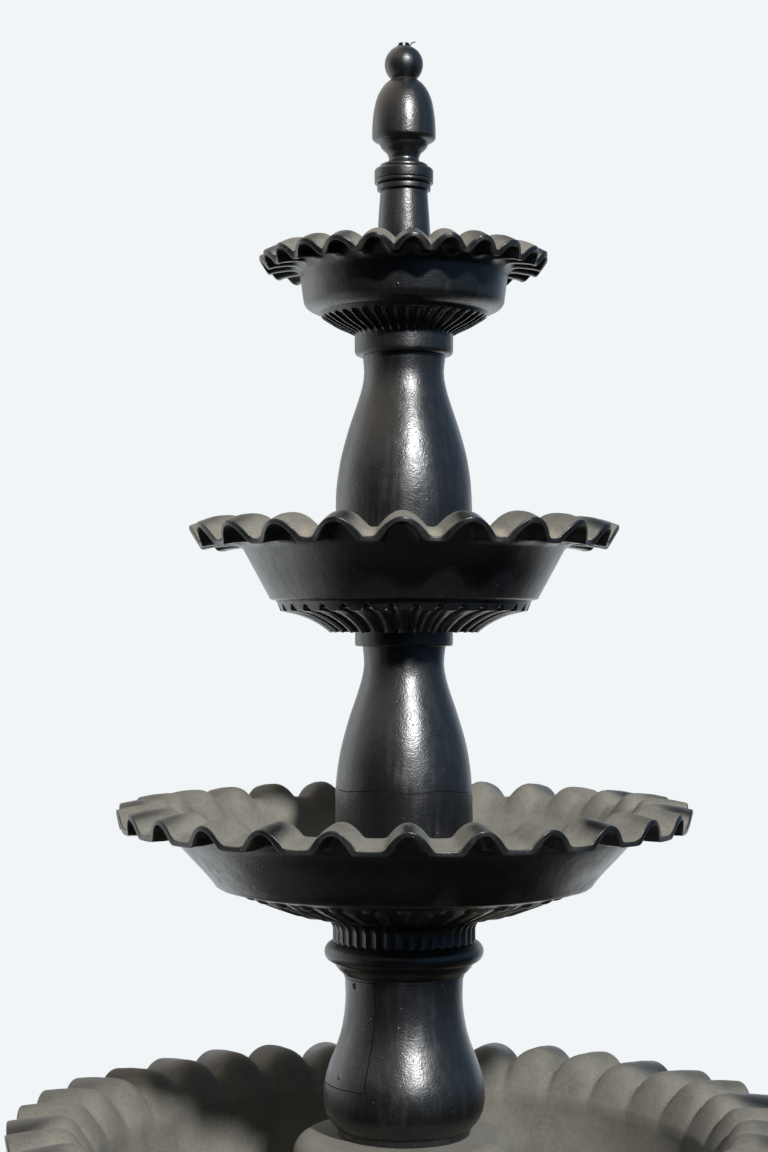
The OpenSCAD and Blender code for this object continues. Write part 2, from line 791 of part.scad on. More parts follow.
module lower_collar() {
    bead_z = collar_h - collar_bead_r;
    bead_c = collar_torus_r - collar_bead_r;
    foot_r = low_col_top_r + 1.5;
    color(black)
    translate([0, 0, collar_z])
    difference() {
        rotate_extrude()
            polygon(concat(
                [[collar_bore, -skirt_h], [skirt_r, -skirt_h], [skirt_r, 0], [foot_r, 0]],
                curve([foot_r, 0.15 * collar_step_h], [collar_step_r, collar_step_h], [0.5, 0.35], [0.95, 0.7]),
                arc([bead_c, bead_z], collar_bead_r, -80, 90, 12),
                [[collar_bore, collar_h]]));
        facing_panel(panel_screw_heights[1] - low_col_h)
            cylinder(r = panel_screw_r + move_gap, h = 2 * skirt_r);
    }
}

// Floor of a bowl round the riser: the ring that the column above stands round, and the hole
function bowl_floor(ring_r, seat_z, under_z, bore_r) =
    [[ring_r, seat_z], [ring_r, seat_z + spigot_h], [ring_r - spigot_wall, seat_z + spigot_h],
     [ring_r - spigot_wall, seat_z], [hole_r, seat_z], [hole_r, under_z], [bore_r, under_z]];

module lower_bowl() {
    joint_z = low_rim_z - low_lift;
    under_r = low_neck_r * 1.25;
    under_z = low_neck_h * 2;
    bore = low_spigot - spigot_wall;
    color(black)
    translate([0, 0, low_bowl_z])
        rotate_extrude()
            polygon(concat(
                [[bore, -spigot_h], [low_spigot, -spigot_h], [low_spigot, 0], [low_neck_r, 0]],
                curve([low_neck_r, low_neck_h], [under_r, under_z], [0.04, 0.53], [0.41, 0.94]),
                rest(curve([under_r, under_z], [low_turn_r, low_turn_z], [0.29, 0.3], [0.58, 0.74])),
                rest(curve([low_turn_r, low_turn_z], [low_mouth_r + bowl_wall, joint_z],
                           [0.23, 0.27], [0.7, 0.61])),
                curve([low_mouth_r, joint_z], [col_base_r + bowl_wall, low_seat_z],
                      [0.27, 0.56], [0.66, 0.9], 12),
                bowl_floor(col_base_bore - spigot_gap, low_seat_z, low_seat_z - floor_t, bore)));
}

module lower_rim() {
    color(black)
    translate([0, 0, low_bowl_z])
        scalloped_rim(low_mouth_r, bowl_wall, low_lift, low_rim_r, low_rim_z, low_droop,
                      low_lean, low_crest_h, low_crests, low_crest_share, low_crest_power, low_crest_az);
}

module baluster_column(z) {
    color(black)
    translate([0, 0, z])
        rotate_extrude()
            polygon(concat(column_side(0), backwards(column_side(col_wall))));
}

module middle_column() {
    baluster_column(mid_col_z);
}

module middle_bowl() {
    joint_z = mid_rim_z - mid_lift;
    bore = col_spigot - spigot_wall;
    color(black)
    translate([0, 0, mid_bowl_z])
        rotate_extrude()
            polygon(concat(
                [[bore, -spigot_h], [col_spigot, -spigot_h], [col_spigot, 0], [mid_collar_r - mid_chamfer, 0],
                 [mid_collar_r, mid_chamfer], [mid_collar_r, mid_collar_h]],
                curve([mid_under_r, mid_collar_h], [mid_step_r, mid_step_z], [0.14, 0.36], [0.6, 0.98]),
                [[mid_step_r, mid_step_z + mid_step_h],
                 [mid_wall_r, mid_step_z + mid_step_h + 2.5], [mid_mouth_r + bowl_wall, joint_z]],
                curve([mid_mouth_r, joint_z], [col_base_r + bowl_wall, mid_seat_z],
                      [0.28, 0.65], [0.24, 1], 12),
                bowl_floor(col_base_bore - spigot_gap, mid_seat_z, mid_seat_z - floor_t, bore)));
}

module middle_rim() {
    color(black)
    translate([0, 0, mid_bowl_z])
        scalloped_rim(mid_mouth_r, bowl_wall, mid_lift, mid_rim_r, mid_rim_z, mid_droop,
                      mid_lean, mid_crest_h, mid_crests, mid_crest_share, mid_crest_power, mid_crest_az);
}

module upper_column() {
    baluster_column(up_col_z);
}

module upper_bowl() {
    joint_z = up_rim_z - up_lift;
    out_r = up_mouth_r + bowl_wall;
    bore = col_spigot - spigot_wall;
    color(black)
    translate([0, 0, up_bowl_z])
        rotate_extrude()
            polygon(concat(
                [[bore, -spigot_h], [col_spigot, -spigot_h], [col_spigot, 0], [up_collar_r - up_bead, 0]],
                arc([up_collar_r - up_bead, up_bead], up_bead, -80, 0),
                [[up_collar_r, up_collar_h]],
                curve([up_cone_r, up_cone_z], [out_r - 5, up_cone_z + up_turn], [0.55, 0.18], [0.95, 0.47]),
                [[out_r, joint_z]],
                curve([up_mouth_r, joint_z], [post_base_r + bowl_wall, up_seat_z],
                      [0.07, 0.7], [0.39, 1], 12),
                bowl_floor(post_base_bore - spigot_gap, up_seat_z, up_seat_z - floor_t, bore)));
}

module upper_rim() {
    color(black)
    translate([0, 0, up_bowl_z])
        scalloped_rim(up_mouth_r, bowl_wall, up_lift, up_rim_r, up_rim_z, up_droop,
                      up_lean, up_crest_h, up_crests, up_crest_share, up_crest_power, up_crest_az);
}

function post_side(inset) =
    bezier([post_base_r - inset, 0], [post_base_r - inset - 2, 50],
           [post_top_r - inset + 4.5, post_h - 52], [post_top_r - inset, post_h], 10);

module spout_post() {
    color(black)
    translate([0, 0, post_z])
        rotate_extrude()
            polygon(concat(post_side(0), backwards(post_side(post_wall))));
}

module post_collar() {
    low_r = post_collar_r - 3.7;
    color(black)
    translate([0, 0, post_collar_z])
        rotate_extrude()
            polygon([[finial_bore, -spigot_h], [post_spigot, -spigot_h], [post_spigot, 0], [low_r, 0],
                     [low_r, 8.5], [low_r - 2, 9], [low_r - 2, 9.6], [post_collar_r, 10], [post_collar_r, 15],
                     [post_collar_r - 1.4, 15.5], [post_collar_r, 16], [post_collar_r, post_collar_h],
                     [finial_bore, post_collar_h]]);
}

module finial_acorn() {
    flare_r = acorn_neck_r + 13;
    cup_r = acorn_r - 11.5;
    color(black)
    translate([0, 0, acorn_z])
        rotate_extrude()
            polygon(concat(
                [[finial_bore, 0], [flare_r, 0], [flare_r, 5]],
                bezier([flare_r - 3, 6], [acorn_neck_r + 2, 7], [acorn_neck_r, 10], [acorn_neck_r, 15]),
                bezier([acorn_neck_r + 1, 17], [acorn_neck_r + 2, 24], [cup_r - 3, 25], [cup_r, 32]),
                [[acorn_r - 1.5, 40], [acorn_r, 42]],
                curve([acorn_r, 47], [ball_seat_r + 0.5, acorn_h], [0.025, 0.48], [0.19, 0.83], 16),
                [[finial_bore, acorn_h]]));
}

module finial_ball() {
    foot_z = acorn_z + acorn_h;
    color(black)
    difference() {
        translate([0, 0, ball_z])
            sphere(r = ball_r);
        translate([-ball_r, -ball_r, foot_z - ball_r])
            cube([2 * ball_r, 2 * ball_r, ball_r]);
        translate([0, 0, foot_z - eps])
            cylinder(r = finial_bore, h = riser_top_z + nozzle_flange_h + thread_gap - foot_z + eps);
        cylinder(r = nozzle_r + thread_gap, h = nozzle_tip_z);
    }
}

module jet_nozzle() {
    bore = nozzle_r - 2;
    slot_w = 2.8;
    slot_h = 4.5;
    color(zinc)
    difference() {
        rotate_extrude()
            polygon([[bore, riser_top_z], [riser_r, riser_top_z], [riser_r, riser_top_z + nozzle_flange_h],
                     [nozzle_r, riser_top_z + nozzle_flange_h], [nozzle_r, nozzle_tip_z],
                     [bore, nozzle_tip_z]]);
        translate([-slot_w / 2, -2 * nozzle_r, nozzle_tip_z - slot_h])
            cube([slot_w, 4 * nozzle_r, 2 * slot_h]);
    }
}

// Wire clip that grips the nozzle from behind, its tail turned up and out
module nozzle_clip() {
    clip_c = nozzle_r + clip_wire_r + thread_gap;
    clip_z = ball_z + sqrt(ball_r * ball_r - clip_c * clip_c) + clip_wire_r + move_gap;
    grip = 210;
    tail = [[0, 0, 0], [3.3, 0, 3.4], [7.5, 0, 4.8]];
    color(zinc)
    translate([0, 0, clip_z])
    rotate([0, 0, 90 - grip / 2]) {
        rotate_extrude(angle = grip)
            translate([clip_c, 0])
                circle(r = clip_wire_r, $fn = 24);
        translate([clip_c, 0, 0])
            rotate([0, 0, grip / 2 - 90])
                for (i = [0:1])
                    hull()
                        for (end = [tail[i], tail[i + 1]])
                            translate(end)
                                sphere(r = clip_wire_r, $fn = 24);
    }
}

module riser_pipe(from, to) {
    color(zinc)
        ring(riser_bore_r, riser_r, from, to - from);
}

module riser_lower() {
    riser_pipe(riser_z0, joint_1_z);
}

module riser_middle() {
    riser_pipe(joint_1_z, joint_2_z);
}

module riser_upper() {
    riser_pipe(joint_2_z, riser_top_z);
}

module pipe_couplings() {
    color(zinc)
    for (z = [joint_1_z, joint_2_z])
        ring(riser_r + thread_gap, coupling_r, z - coupling_l / 2, coupling_l);
}

bowl_floors = [mid_col_z, up_col_z, post_z];

module bowl_seals() {
    color(rubber_black)
    for (z = bowl_floors)
        ring(riser_r + thread_gap, washer_r, z, seal_h);
}

module nut_washers() {
    color(zinc)
    for (z = bowl_floors)
        ring(riser_r + thread_gap, washer_r, z + seal_h, washer_h);
}

module lock_nuts() {
    color(brass)
    for (z = concat([mid_col_z - floor_t - nut_h], [for (f = bowl_floors) f + seal_h + washer_h]))
        translate([0, 0, z])
            hex_nut(nut_af, riser_r + thread_gap, nut_h);
}

module valve_body() {
    color(brass)
    difference() {
        union() {
            translate([0, 0, valve_c - valve_l / 2 - eps])
                cylinder(r = valve_r, h = valve_l + 2 * eps);
            translate([0, 0, valve_top])
                hex(valve_end_af, valve_end_h);
            translate([0, 0, valve_barb_z])
                hex(valve_end_af, valve_end_h);
            translate([0, 0, valve_barb_z - barb_l])
                cylinder(r = barb_r, h = barb_l + eps);
            facing_panel(valve_c)
                cylinder(r = boss_r, h = boss_end);
        }
        translate([0, 0, valve_c])
            sphere(r = valve_ball_r + move_gap);
        translate([0, 0, valve_barb_z - barb_l - eps])
            cylinder(r = barb_bore_r, h = valve_top - valve_barb_z + barb_l);
        translate([0, 0, riser_z0])
            cylinder(r = riser_r + thread_gap, h = valve_end_h + 3 * eps);
        facing_panel(valve_c)
            cylinder(r = stem_r + run_gap, h = boss_end + eps);
    }
}

module valve_ball() {
    color(zinc)
    difference() {
        translate([0, 0, valve_c])
            sphere(r = valve_ball_r);
        translate([0, 0, valve_c - 2 * valve_ball_r])
            cylinder(r = barb_bore_r, h = 4 * valve_ball_r);
        facing_panel(valve_c)
            translate([0, 0, stem_seat])
                cylinder(r = stem_r + thread_gap, h = valve_ball_r);
    }
}

module valve_stem() {
    color(brass)
    facing_panel(valve_c)
        translate([0, 0, stem_seat])
            cylinder(r = stem_r, h = stem_end - stem_seat);
}

module valve_lever() {
    color(zinc)
    facing_panel(valve_c)
        difference() {
            translate([-lever_l, -lever_w / 2, lever_x])
                cube([lever_l + lever_w / 2 + 2, lever_w, lever_t]);
            cylinder(r = stem_r + thread_gap, h = 2 * lever_x);
        }
}

module lever_grip() {
    color("#8c1f1b")
    facing_panel(valve_c)
        difference() {
            translate([-lever_l - grip_t, -lever_w / 2 - grip_t, lever_x - grip_t])
                cube([grip_l, lever_w + 2 * grip_t, lever_t + 2 * grip_t]);
            translate([-lever_l, -lever_w / 2, lever_x])
                cube([lever_l, lever_w, lever_t]);
        }
}

module lever_nut() {
    color(zinc)
    facing_panel(valve_c)
        translate([0, 0, lever_x + lever_t])
            hex_nut(lever_nut_af, stem_r + thread_gap, lever_nut_h);
}

module supply_hose() {
    color(rubber_black)
        ring(hose_bore_r, hose_r, hose_z0, hose_z1 - hose_z0);
}

module hose_clamps() {
    color(zinc)
    for (z = [hose_z0 + band_inset, hose_z1 - band_inset - band_h])
        translate([0, 0, z])
            difference() {
                union() {
                    cylinder(r = hose_r + thread_gap + band_t, h = band_h);
                    translate([hose_r - 2, -band_screw_w / 2, 0])
                        cube([band_screw_l, band_screw_w, band_h]);
                }
                translate([0, 0, -eps])
                    cylinder(r = hose_r + thread_gap, h = band_h + 2 * eps);
            }
}

// Stands a piece that is drawn along +Z so that it lies along the pump's shaft
module along_shaft(x, z = shaft_z) {
    translate([x, 0, z])
        rotate([0, 90, 0])
            children();
}

module pump_outlet() {
    color(brass)
    difference() {
        union() {
            translate([0, 0, outlet_top - outlet_stub_l])
                cylinder(r = outlet_stub_r, h = outlet_stub_l + eps);
            translate([0, 0, outlet_top])
                hex(2 * outlet_stub_r + 8, outlet_hex_h);
            translate([0, 0, outlet_top + outlet_hex_h - eps])
                cylinder(r = barb_r, h = barb_l);
        }
        translate([0, 0, outlet_top - outlet_stub_l - eps])
            cylinder(r = barb_bore_r, h = outlet_stub_l + outlet_hex_h + barb_l + 2 * eps);
    }
}

module pump_housing() {
    half_h = pump_h / 2 - pump_edge_r;
    half_w = pump_w / 2 - pump_edge_r;
    color(pump_blue)
    difference() {
        along_shaft(chamber_x0)
            linear_extrude(motor_x1 - chamber_x0)
                polygon(concat(
                    arc([half_h, half_w], pump_edge_r, 0, 90, 5),
                    arc([-half_h, half_w], pump_edge_r, 90, 180, 5),
                    arc([-half_h, -half_w], pump_edge_r, 180, 270, 5),
                    arc([half_h, -half_w], pump_edge_r, 270, 360, 5)));
        along_shaft(chamber_x0 - eps)
            cylinder(r = chamber_r, h = chamber_l + eps);
        along_shaft(chamber_x0)
            cylinder(r = magnet_r + 2, h = motor_x1 - motor_wall - chamber_x0);
        along_shaft(chamber_x0)
            cylinder(r = shaft_r + run_gap, h = motor_x1 - motor_wall - chamber_x0 + 8);
        translate([0, 0, shaft_z])
            cylinder(r = outlet_stub_r + thread_gap, h = pump_h);
    }
}

module pump_cover() {
    color(pump_blue)
    along_shaft(cover_x)
        difference() {
            union() {
                ring(cover_eye_r, cover_r, 0, cover_t);
                cylinder(r = bearing_r, h = cover_t);
                for (k = [0:2])
                    rotate([0, 0, 120 * k])
                        translate([0, -slot_w / 2, 0])
                            cube([cover_eye_r + 2, slot_w, cover_t]);
            }
            translate([0, 0, -eps])
                cylinder(r = shaft_r + run_gap, h = cover_t + 2 * eps);
        }
}

module pump_strainer() {
    color(pump_blue)
    along_shaft(cover_x - strainer_l)
        difference() {
            cylinder(r = cover_r, h = strainer_l);
            translate([0, 0, strainer_wall])
                cylinder(r = cover_r - strainer_wall, h = strainer_l);
            for (k = [0:strainer_slots - 1])
                rotate([0, 0, 360 / strainer_slots * k])
                    translate([cover_r - 2 * strainer_wall, -slot_w / 2, slot_end])
                        cube([3 * strainer_wall, slot_w, strainer_l - 2 * slot_end]);
        }
}

module impeller() {
    hub_l = chamber_l - 3 * hub_gap;
    vane_z = 4 * hub_gap;
    color("#3a3d40")
    along_shaft(chamber_x0 + hub_gap)
        difference() {
            union() {
                cylinder(r = hub_r, h = hub_l);
                translate([0, 0, hub_l - plate_t])
                    cylinder(r = impeller_r, h = plate_t);
                for (k = [0:impeller_vanes - 1])
                    rotate([0, 0, 360 / impeller_vanes * k])
                        translate([hub_r - vane_t, -vane_t / 2, vane_z])
                            cube([impeller_r - hub_r + vane_t - eps, vane_t, hub_l - vane_z - eps]);
            }
            translate([0, 0, -eps])
                cylinder(r = shaft_r + thread_gap, h = hub_l + 2 * eps);
        }
}

module motor_magnet() {
    color("#4a4744")
    along_shaft(chamber_x1 + 6)
        ring(shaft_r + thread_gap, magnet_r, 0, motor_l - motor_wall - 12);
}

module pump_shaft() {
    color(zinc)
    along_shaft(cover_x + 1)
        cylinder(r = shaft_r, h = motor_x1 - motor_wall + 7 - cover_x - 1);
}

module pump_feet() {
    color(rubber_black)
    for (x = [chamber_x0 + pump_foot_inset, motor_x1 - pump_foot_inset], side = [-1, 1])
        translate([x, side * (pump_w / 2 - pump_edge_r - pump_foot_r), basin_floor_z])
            cylinder(r = pump_foot_r, h = pump_foot_h);
}

module cable_gland() {
    color(rubber_black)
    along_shaft(motor_x1, shaft_z + pump_h / 4)
        difference() {
            union() {
                hex(gland_af, gland_hex_h);
                cylinder(r = gland_r, h = gland_l);
            }
            translate([0, 0, gland_bore_r])
                cylinder(r = gland_bore_r, h = gland_l);
        }
}

basin_foot();
basin();
basin_rim();
drain_bush();
drain_nut();
drain_plug();
plinth();
anchor_bolts();
anchor_nuts();
lower_column();
access_panel();
panel_screws();
lower_collar();
lower_bowl();
lower_rim();
middle_column();
middle_bowl();
middle_rim();
upper_column();
upper_bowl();
upper_rim();
spout_post();
post_collar();
finial_acorn();
finial_ball();
jet_nozzle();
nozzle_clip();
riser_lower();
riser_middle();
riser_upper();
pipe_couplings();
bowl_seals();
nut_washers();
lock_nuts();
valve_body();
valve_ball();
valve_stem();
valve_lever();
lever_grip();
lever_nut();
supply_hose();
hose_clamps();
pump_outlet();
pump_housing();
pump_cover();
pump_strainer();
impeller();
motor_magnet();
pump_shaft();
pump_feet();
cable_gland();
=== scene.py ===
import math
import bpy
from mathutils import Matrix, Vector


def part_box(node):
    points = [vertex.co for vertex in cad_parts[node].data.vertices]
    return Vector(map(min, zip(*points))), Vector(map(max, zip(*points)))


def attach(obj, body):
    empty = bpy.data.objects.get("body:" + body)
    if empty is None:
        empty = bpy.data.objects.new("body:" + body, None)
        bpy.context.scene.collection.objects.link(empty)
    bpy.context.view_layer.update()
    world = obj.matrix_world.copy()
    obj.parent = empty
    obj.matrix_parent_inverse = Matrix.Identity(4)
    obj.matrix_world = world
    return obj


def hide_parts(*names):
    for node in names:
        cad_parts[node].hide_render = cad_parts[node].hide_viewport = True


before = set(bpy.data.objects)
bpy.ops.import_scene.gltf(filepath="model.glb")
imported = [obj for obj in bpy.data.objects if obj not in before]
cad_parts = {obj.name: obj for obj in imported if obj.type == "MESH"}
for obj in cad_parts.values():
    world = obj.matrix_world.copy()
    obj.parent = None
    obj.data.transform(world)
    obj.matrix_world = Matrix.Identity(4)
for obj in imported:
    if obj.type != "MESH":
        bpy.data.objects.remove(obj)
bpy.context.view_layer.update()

from types import SimpleNamespace

import bmesh
import bpy
from bpy.props import FloatProperty, FloatVectorProperty, IntProperty, PointerProperty
from bpy.types import Operator, Panel, PropertyGroup
from mathutils import Vector, noise

bl_info = {
    "name": "Tiered Garden Fountain",
    "version": (1, 0, 0),
    "blender": (4, 5, 0),
    "location": "View3D > Sidebar > Fountain",
    "description": "Dresses a cast garden fountain: scalloped bowls, baluster columns and a finial",
    "category": "Object",
}

# Lengths are millimetres while a piece is shaped, and metres once it is finished
MM = 0.001
ROOT = "fountain"


def low_z(node):
    """Height of a node's lowest point, in millimetres."""
    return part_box(node)[0].z / MM


def high_z(node):
    """Height of a node's highest point, in millimetres."""
    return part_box(node)[1].z / MM


# Heights of the pieces in the stack
PLINTH_Z = low_z("plinth")
LOW_COLUMN_Z = low_z("lower_column")
COLLAR_Z = high_z("lower_column")
LOW_BOWL_Z = high_z("lower_collar")
MID_COLUMN_Z = low_z("middle_column")
MID_BOWL_Z = high_z("middle_column")
UP_COLUMN_Z = low_z("upper_column")
UP_BOWL_Z = high_z("upper_column")
POST_Z = low_z("spout_post")
POST_COLLAR_Z = high_z("spout_post")
ACORN_Z = high_z("post_collar")
BALL_FOOT_Z = high_z("finial_acorn")

# Sizes that several pieces share
BOWL_WALL = 9
COLUMN_WALL = 8
COLUMN_DUST = 0.12
FLOOR_T = 12
SPIGOT_H = 8
SPIGOT_WALL = 7
RIM_T = 6.5
PIPE_HOLE_R = 11.05
FINIAL_BORE_R = 11.15
SHARP_EDGE = math.radians(35)


def length_field(name, description, size_mm):
    """A length that the user can change, shown in the scene's units."""
    return FloatProperty(name=name, description=description, default=size_mm * MM, unit="LENGTH",
                         precision=4)


def share_field(name, description, value):
    """A share of a whole that the user can change."""
    return FloatProperty(name=name, description=description, default=value, subtype="FACTOR")


def angle_field(name, description, degrees):
    """An angle that the user can change."""
    return FloatProperty(name=name, description=description, default=math.radians(degrees),
                         subtype="ANGLE")


def colour_field(name, description, code):
    """An sRGB colour that the user can change, from its hex code."""
    rgb = [int(code[i:i + 2], 16) / 255 for i in (1, 3, 5)]
    return FloatVectorProperty(name=name, description=description, default=rgb, size=3,
                               subtype="COLOR_GAMMA", min=0, max=1)


def rim_group(label, **size):
    """Makes the PropertyGroup that holds one scalloped rim's sizes."""
    fields = {
        "crests": IntProperty(name="Crests", description="Crests round the rim", default=size["crests"]),
        "share": share_field("Crest share", "Share of the pitch that a crest covers", size["share"]),
        "power": FloatProperty(name="Crest power", default=size["power"],
                               description="Shape of a crest: low is broad, high pointed"),
        "az": angle_field("Crest direction", "Direction of one crest, from +X towards +Y", size["az"]),
        "soft": share_field("Softness", "Rounding between a crest's flanks and the flats", size["soft"]),
        "sway": share_field("Sway", "Unevenness of the crests' spacing, by the pitch", size["sway"]),
        "dust": FloatProperty(name="Dust", description="Dust on the rim: 1 covers it, more is paler",
                              default=size["dust"]),
        "crest_h": length_field("Crest height", "Height of a crest at the rim's edge", size["crest_h"]),
        "rim_z": length_field("Edge height", "Height of the edge between crests, above the casting's foot",
                              size["rim_z"]),
        "lift": length_field("Lift", "Height of the edge above the top of the wall", size["lift"]),
        "droop": length_field("Droop", "Drop of the rim from its highest ring to its edge", size["droop"]),
        "lean": length_field("Lean", "Set-back of the edge between two crests", size["lean"]),
        "mouth_r": length_field("Mouth radius", "Radius of the mouth, at the inside of the wall",
                                size["mouth_r"]),
        "rim_r": length_field("Rim radius", "Radius of the crests' edge", size["rim_r"]),
    }
    content = {"__annotations__": fields, "__doc__": "Sizes of one scalloped rim."}
    return type(label, (PropertyGroup,), content)


BasinRim = rim_group("BasinRim", crests=36, share=0.88, power=0.5, az=84, soft=0.08, sway=0.03, dust=1.0,
                     crest_h=37, rim_z=380, lift=20, droop=12, lean=6, mouth_r=430, rim_r=548.6)
LowerRim = rim_group("LowerRim", crests=27, share=0.62, power=0.7, az=270.7, soft=0.12, sway=0.03, dust=1.1,
                     crest_h=25, rim_z=164, lift=14, droop=11, lean=6, mouth_r=313, rim_r=399.6)
MiddleRim = rim_group("MiddleRim", crests=21, share=0.8, power=0.8, az=270, soft=0.12, sway=0.03, dust=1.25,
                      crest_h=26, rim_z=142, lift=7, droop=14, lean=14, mouth_r=215, rim_r=299.6)
UpperRim = rim_group("UpperRim", crests=24, share=0.97, power=0.75, az=273.2, soft=0.15, sway=0.03, dust=1.2,
                     crest_h=17, rim_z=123, lift=7, droop=14, lean=11, mouth_r=137, rim_r=202.6)


class PanelSizes(PropertyGroup):
    """Sizes of the access panel in the lower column."""

    az: angle_field("Direction", "Direction that the panel faces, from +X towards +Y", 214)
    sweep: angle_field("Sweep", "Angle that the panel's opening covers", 54)
    low: length_field("Lower edge", "Height of the opening above the column's foot", 74)
    seam: length_field("Seam", "Width of the seam round the panel", 1.2)
    screw_low: length_field("Lower screw", "Distance of the lower screw from the lower edge", 16)
    screw_high: length_field("Upper screw", "Distance of the upper screw from the column's top", 8)
    sink_r: length_field("Screw sink radius", "Radius of the sink round a screw head", 4.7)
    sink: length_field("Screw sink depth", "Depth of the sink round a screw head", 4)


class Finishes(PropertyGroup):
    """Colours of the finishes, as sRGB."""

    enamel: colour_field("Enamel", "Black enamel on the castings", "#0f1012")
    enamel_haze: colour_field("Enamel haze", "Enamel where dry water has dulled it", "#1a1a1b")
    dust: colour_field("Dust", "Dry dust on the castings' upper sides", "#77746a")
    dust_pale: colour_field("Pale dust", "Dust that lies thick on the rims", "#a49a86")
    dust_dark: colour_field("Dark dust", "Dust where it is thin or damp", "#5c5a53")
    plinth: colour_field("Plinth", "Dusty enamel of the plinth", "#939089")
    zinc: colour_field("Zinc", "Plating on pipes, bolts and clamps", "#9a9da0")
    brass: colour_field("Brass", "Valve, nuts and barbs", "#b0893f")
    rubber: colour_field("Rubber", "Hose, seals and feet", "#1c1c1c")
    vinyl: colour_field("Vinyl", "Dipped grip of the valve's lever", "#8c1f1b")
    plastic: colour_field("Plastic", "Moulded body of the pump", "#24303c")
    ferrite: colour_field("Ferrite", "Moulded magnet of the pump", "#4a4744")


class Stage(PropertyGroup):
    """Place of the camera, and the colours of the floor, the backdrop and the sky."""

    distance: length_field("Distance", "Distance of the camera from the fountain's axis", 3024)
    height: length_field("Height", "Height of the camera above the ground", 1106.6)
    pitch: angle_field("Pitch", "Upward tilt of the camera", 1.166)
    yaw: angle_field("Yaw", "Turn of the camera to the left", 0.53)
    focal: FloatProperty(name="Focal length", description="Lens on a sensor of 36 mm along the longer side",
                         default=67.56, subtype="DISTANCE_CAMERA")
    floor: colour_field("Floor", "Studio floor", "#e4e5e4")
    backdrop: colour_field("Backdrop", "Pale backdrop", "#f1f5f7")
    warm_sky: colour_field("Warm sky", "Light from the left", "#fff2e0")
    blue_sky: colour_field("Blue sky", "Light from the right", "#a8d6ff")


class FountainSettings(PropertyGroup):
    """All the sizes and finishes of the fountain."""

    basin: PointerProperty(type=BasinRim)
    lower: PointerProperty(type=LowerRim)
    middle: PointerProperty(type=MiddleRim)
    upper: PointerProperty(type=UpperRim)
    panel: PointerProperty(type=PanelSizes)
    finishes: PointerProperty(type=Finishes)
    stage: PointerProperty(type=Stage)


def millimetres(group):
    """A settings group with its lengths in millimetres and its other values as they are."""
    rules = group.bl_rna.properties
    return SimpleNamespace(**{
        name: getattr(group, name) / MM if rules[name].unit == "LENGTH" else getattr(group, name)
        for name in type(group).__annotations__})


# Curves for the profiles, as (radius, height) points


def straight(a, b, n):
    """Points on a straight line from a to b."""
    return [(a[0] + (b[0] - a[0]) * i / n, a[1] + (b[1] - a[1]) * i / n) for i in range(n + 1)]


def bezier(a, b, c, d, n):
    """Points on a cubic curve from a to d."""
    points = []
    for i in range(n + 1):
        t = i / n
        u = 1 - t
        points.append(tuple(u ** 3 * p + 3 * u * u * t * q + 3 * u * t * t * r + t ** 3 * s
                            for p, q, r, s in zip(a, b, c, d)))
    return points


def curve(a, b, p, q, n=12):
    """Points from a to b, the two control points as shares of the way in radius and in height."""
    return bezier(a, (a[0] + p[0] * (b[0] - a[0]), a[1] + p[1] * (b[1] - a[1])),
                  (a[0] + q[0] * (b[0] - a[0]), a[1] + q[1] * (b[1] - a[1])), b, n)


def arc(centre, radius, start, end, n=8):
    """Points on an arc, its angles in degrees."""
    turns = [math.radians(start + (end - start) * i / n) for i in range(n + 1)]
    return [(centre[0] + radius * math.cos(t), centre[1] + radius * math.sin(t)) for t in turns]


def rounded(points, radius):
    """The line through points, with its inner corners rounded."""
    n = 4
    out = [points[0]]
    for before, at, after in zip(points, points[1:], points[2:]):
        at = Vector(at)
        back, on = Vector(before) - at, Vector(after) - at
        cut = min(radius, 0.45 * back.length, 0.45 * on.length)
        start, end = at + back.normalized() * cut, at + on.normalized() * cut
        for i in range(n + 1):
            t = i / n
            out.append(tuple(start * (1 - t) ** 2 + at * 2 * t * (1 - t) + end * t * t))
    out.append(points[-1])
    return out


def smooth(low, high, x):
    """Eased step from 0 at low to 1 at high."""
    t = min(1, max(0, (x - low) / (high - low)))
    return t * t * (3 - 2 * t)


def through(keys, x):
    """Value at x of a smooth curve through (place, value) keys."""
    if x <= keys[0][0]:
        return keys[0][1]
    for i in range(len(keys) - 1):
        (x0, y0), (x1, y1) = keys[i], keys[i + 1]
        if x > x1:
            continue
        xa, ya = keys[max(i - 1, 0)]
        xb, yb = keys[min(i + 2, len(keys) - 1)]
        m0 = (y1 - ya) / (x1 - xa)
        m1 = (yb - y0) / (xb - x0)
        w, t = x1 - x0, (x - x0) / (x1 - x0)
        return (y0 * (2 * t ** 3 - 3 * t * t + 1) + m0 * w * (t ** 3 - 2 * t * t + t)
                + y1 * (3 * t * t - 2 * t ** 3) + m1 * w * (t ** 3 - t * t))
    return keys[-1][1]


# The place of a point off the rims, and what each vertex of a turned shape carries
NO_RIM = -9.0
LAYERS = ("dust", "band", "along", "way", "under", "normal_r", "normal_z")


class Profile:
    """Half section of a turned casting: points with what the shaping needs to know of each."""

    def __init__(self):
        self.points = []

    def add(self, points, dust=0.0, band=0, way=None, under=0.0):
        """Adds points; band numbers an ornament, way and under place a point on a rim."""
        last = max(1, len(points) - 1)
        for i, (r, z) in enumerate(points):
            place = way[i] if way is not None else NO_RIM
            flip = under[i] if isinstance(under, list) else under
            thick = dust[0] + (dust[1] - dust[0]) * i / last if isinstance(dust, tuple) else dust
            self.points.append((r, z, thick, band, i / last, place, flip))
        return self


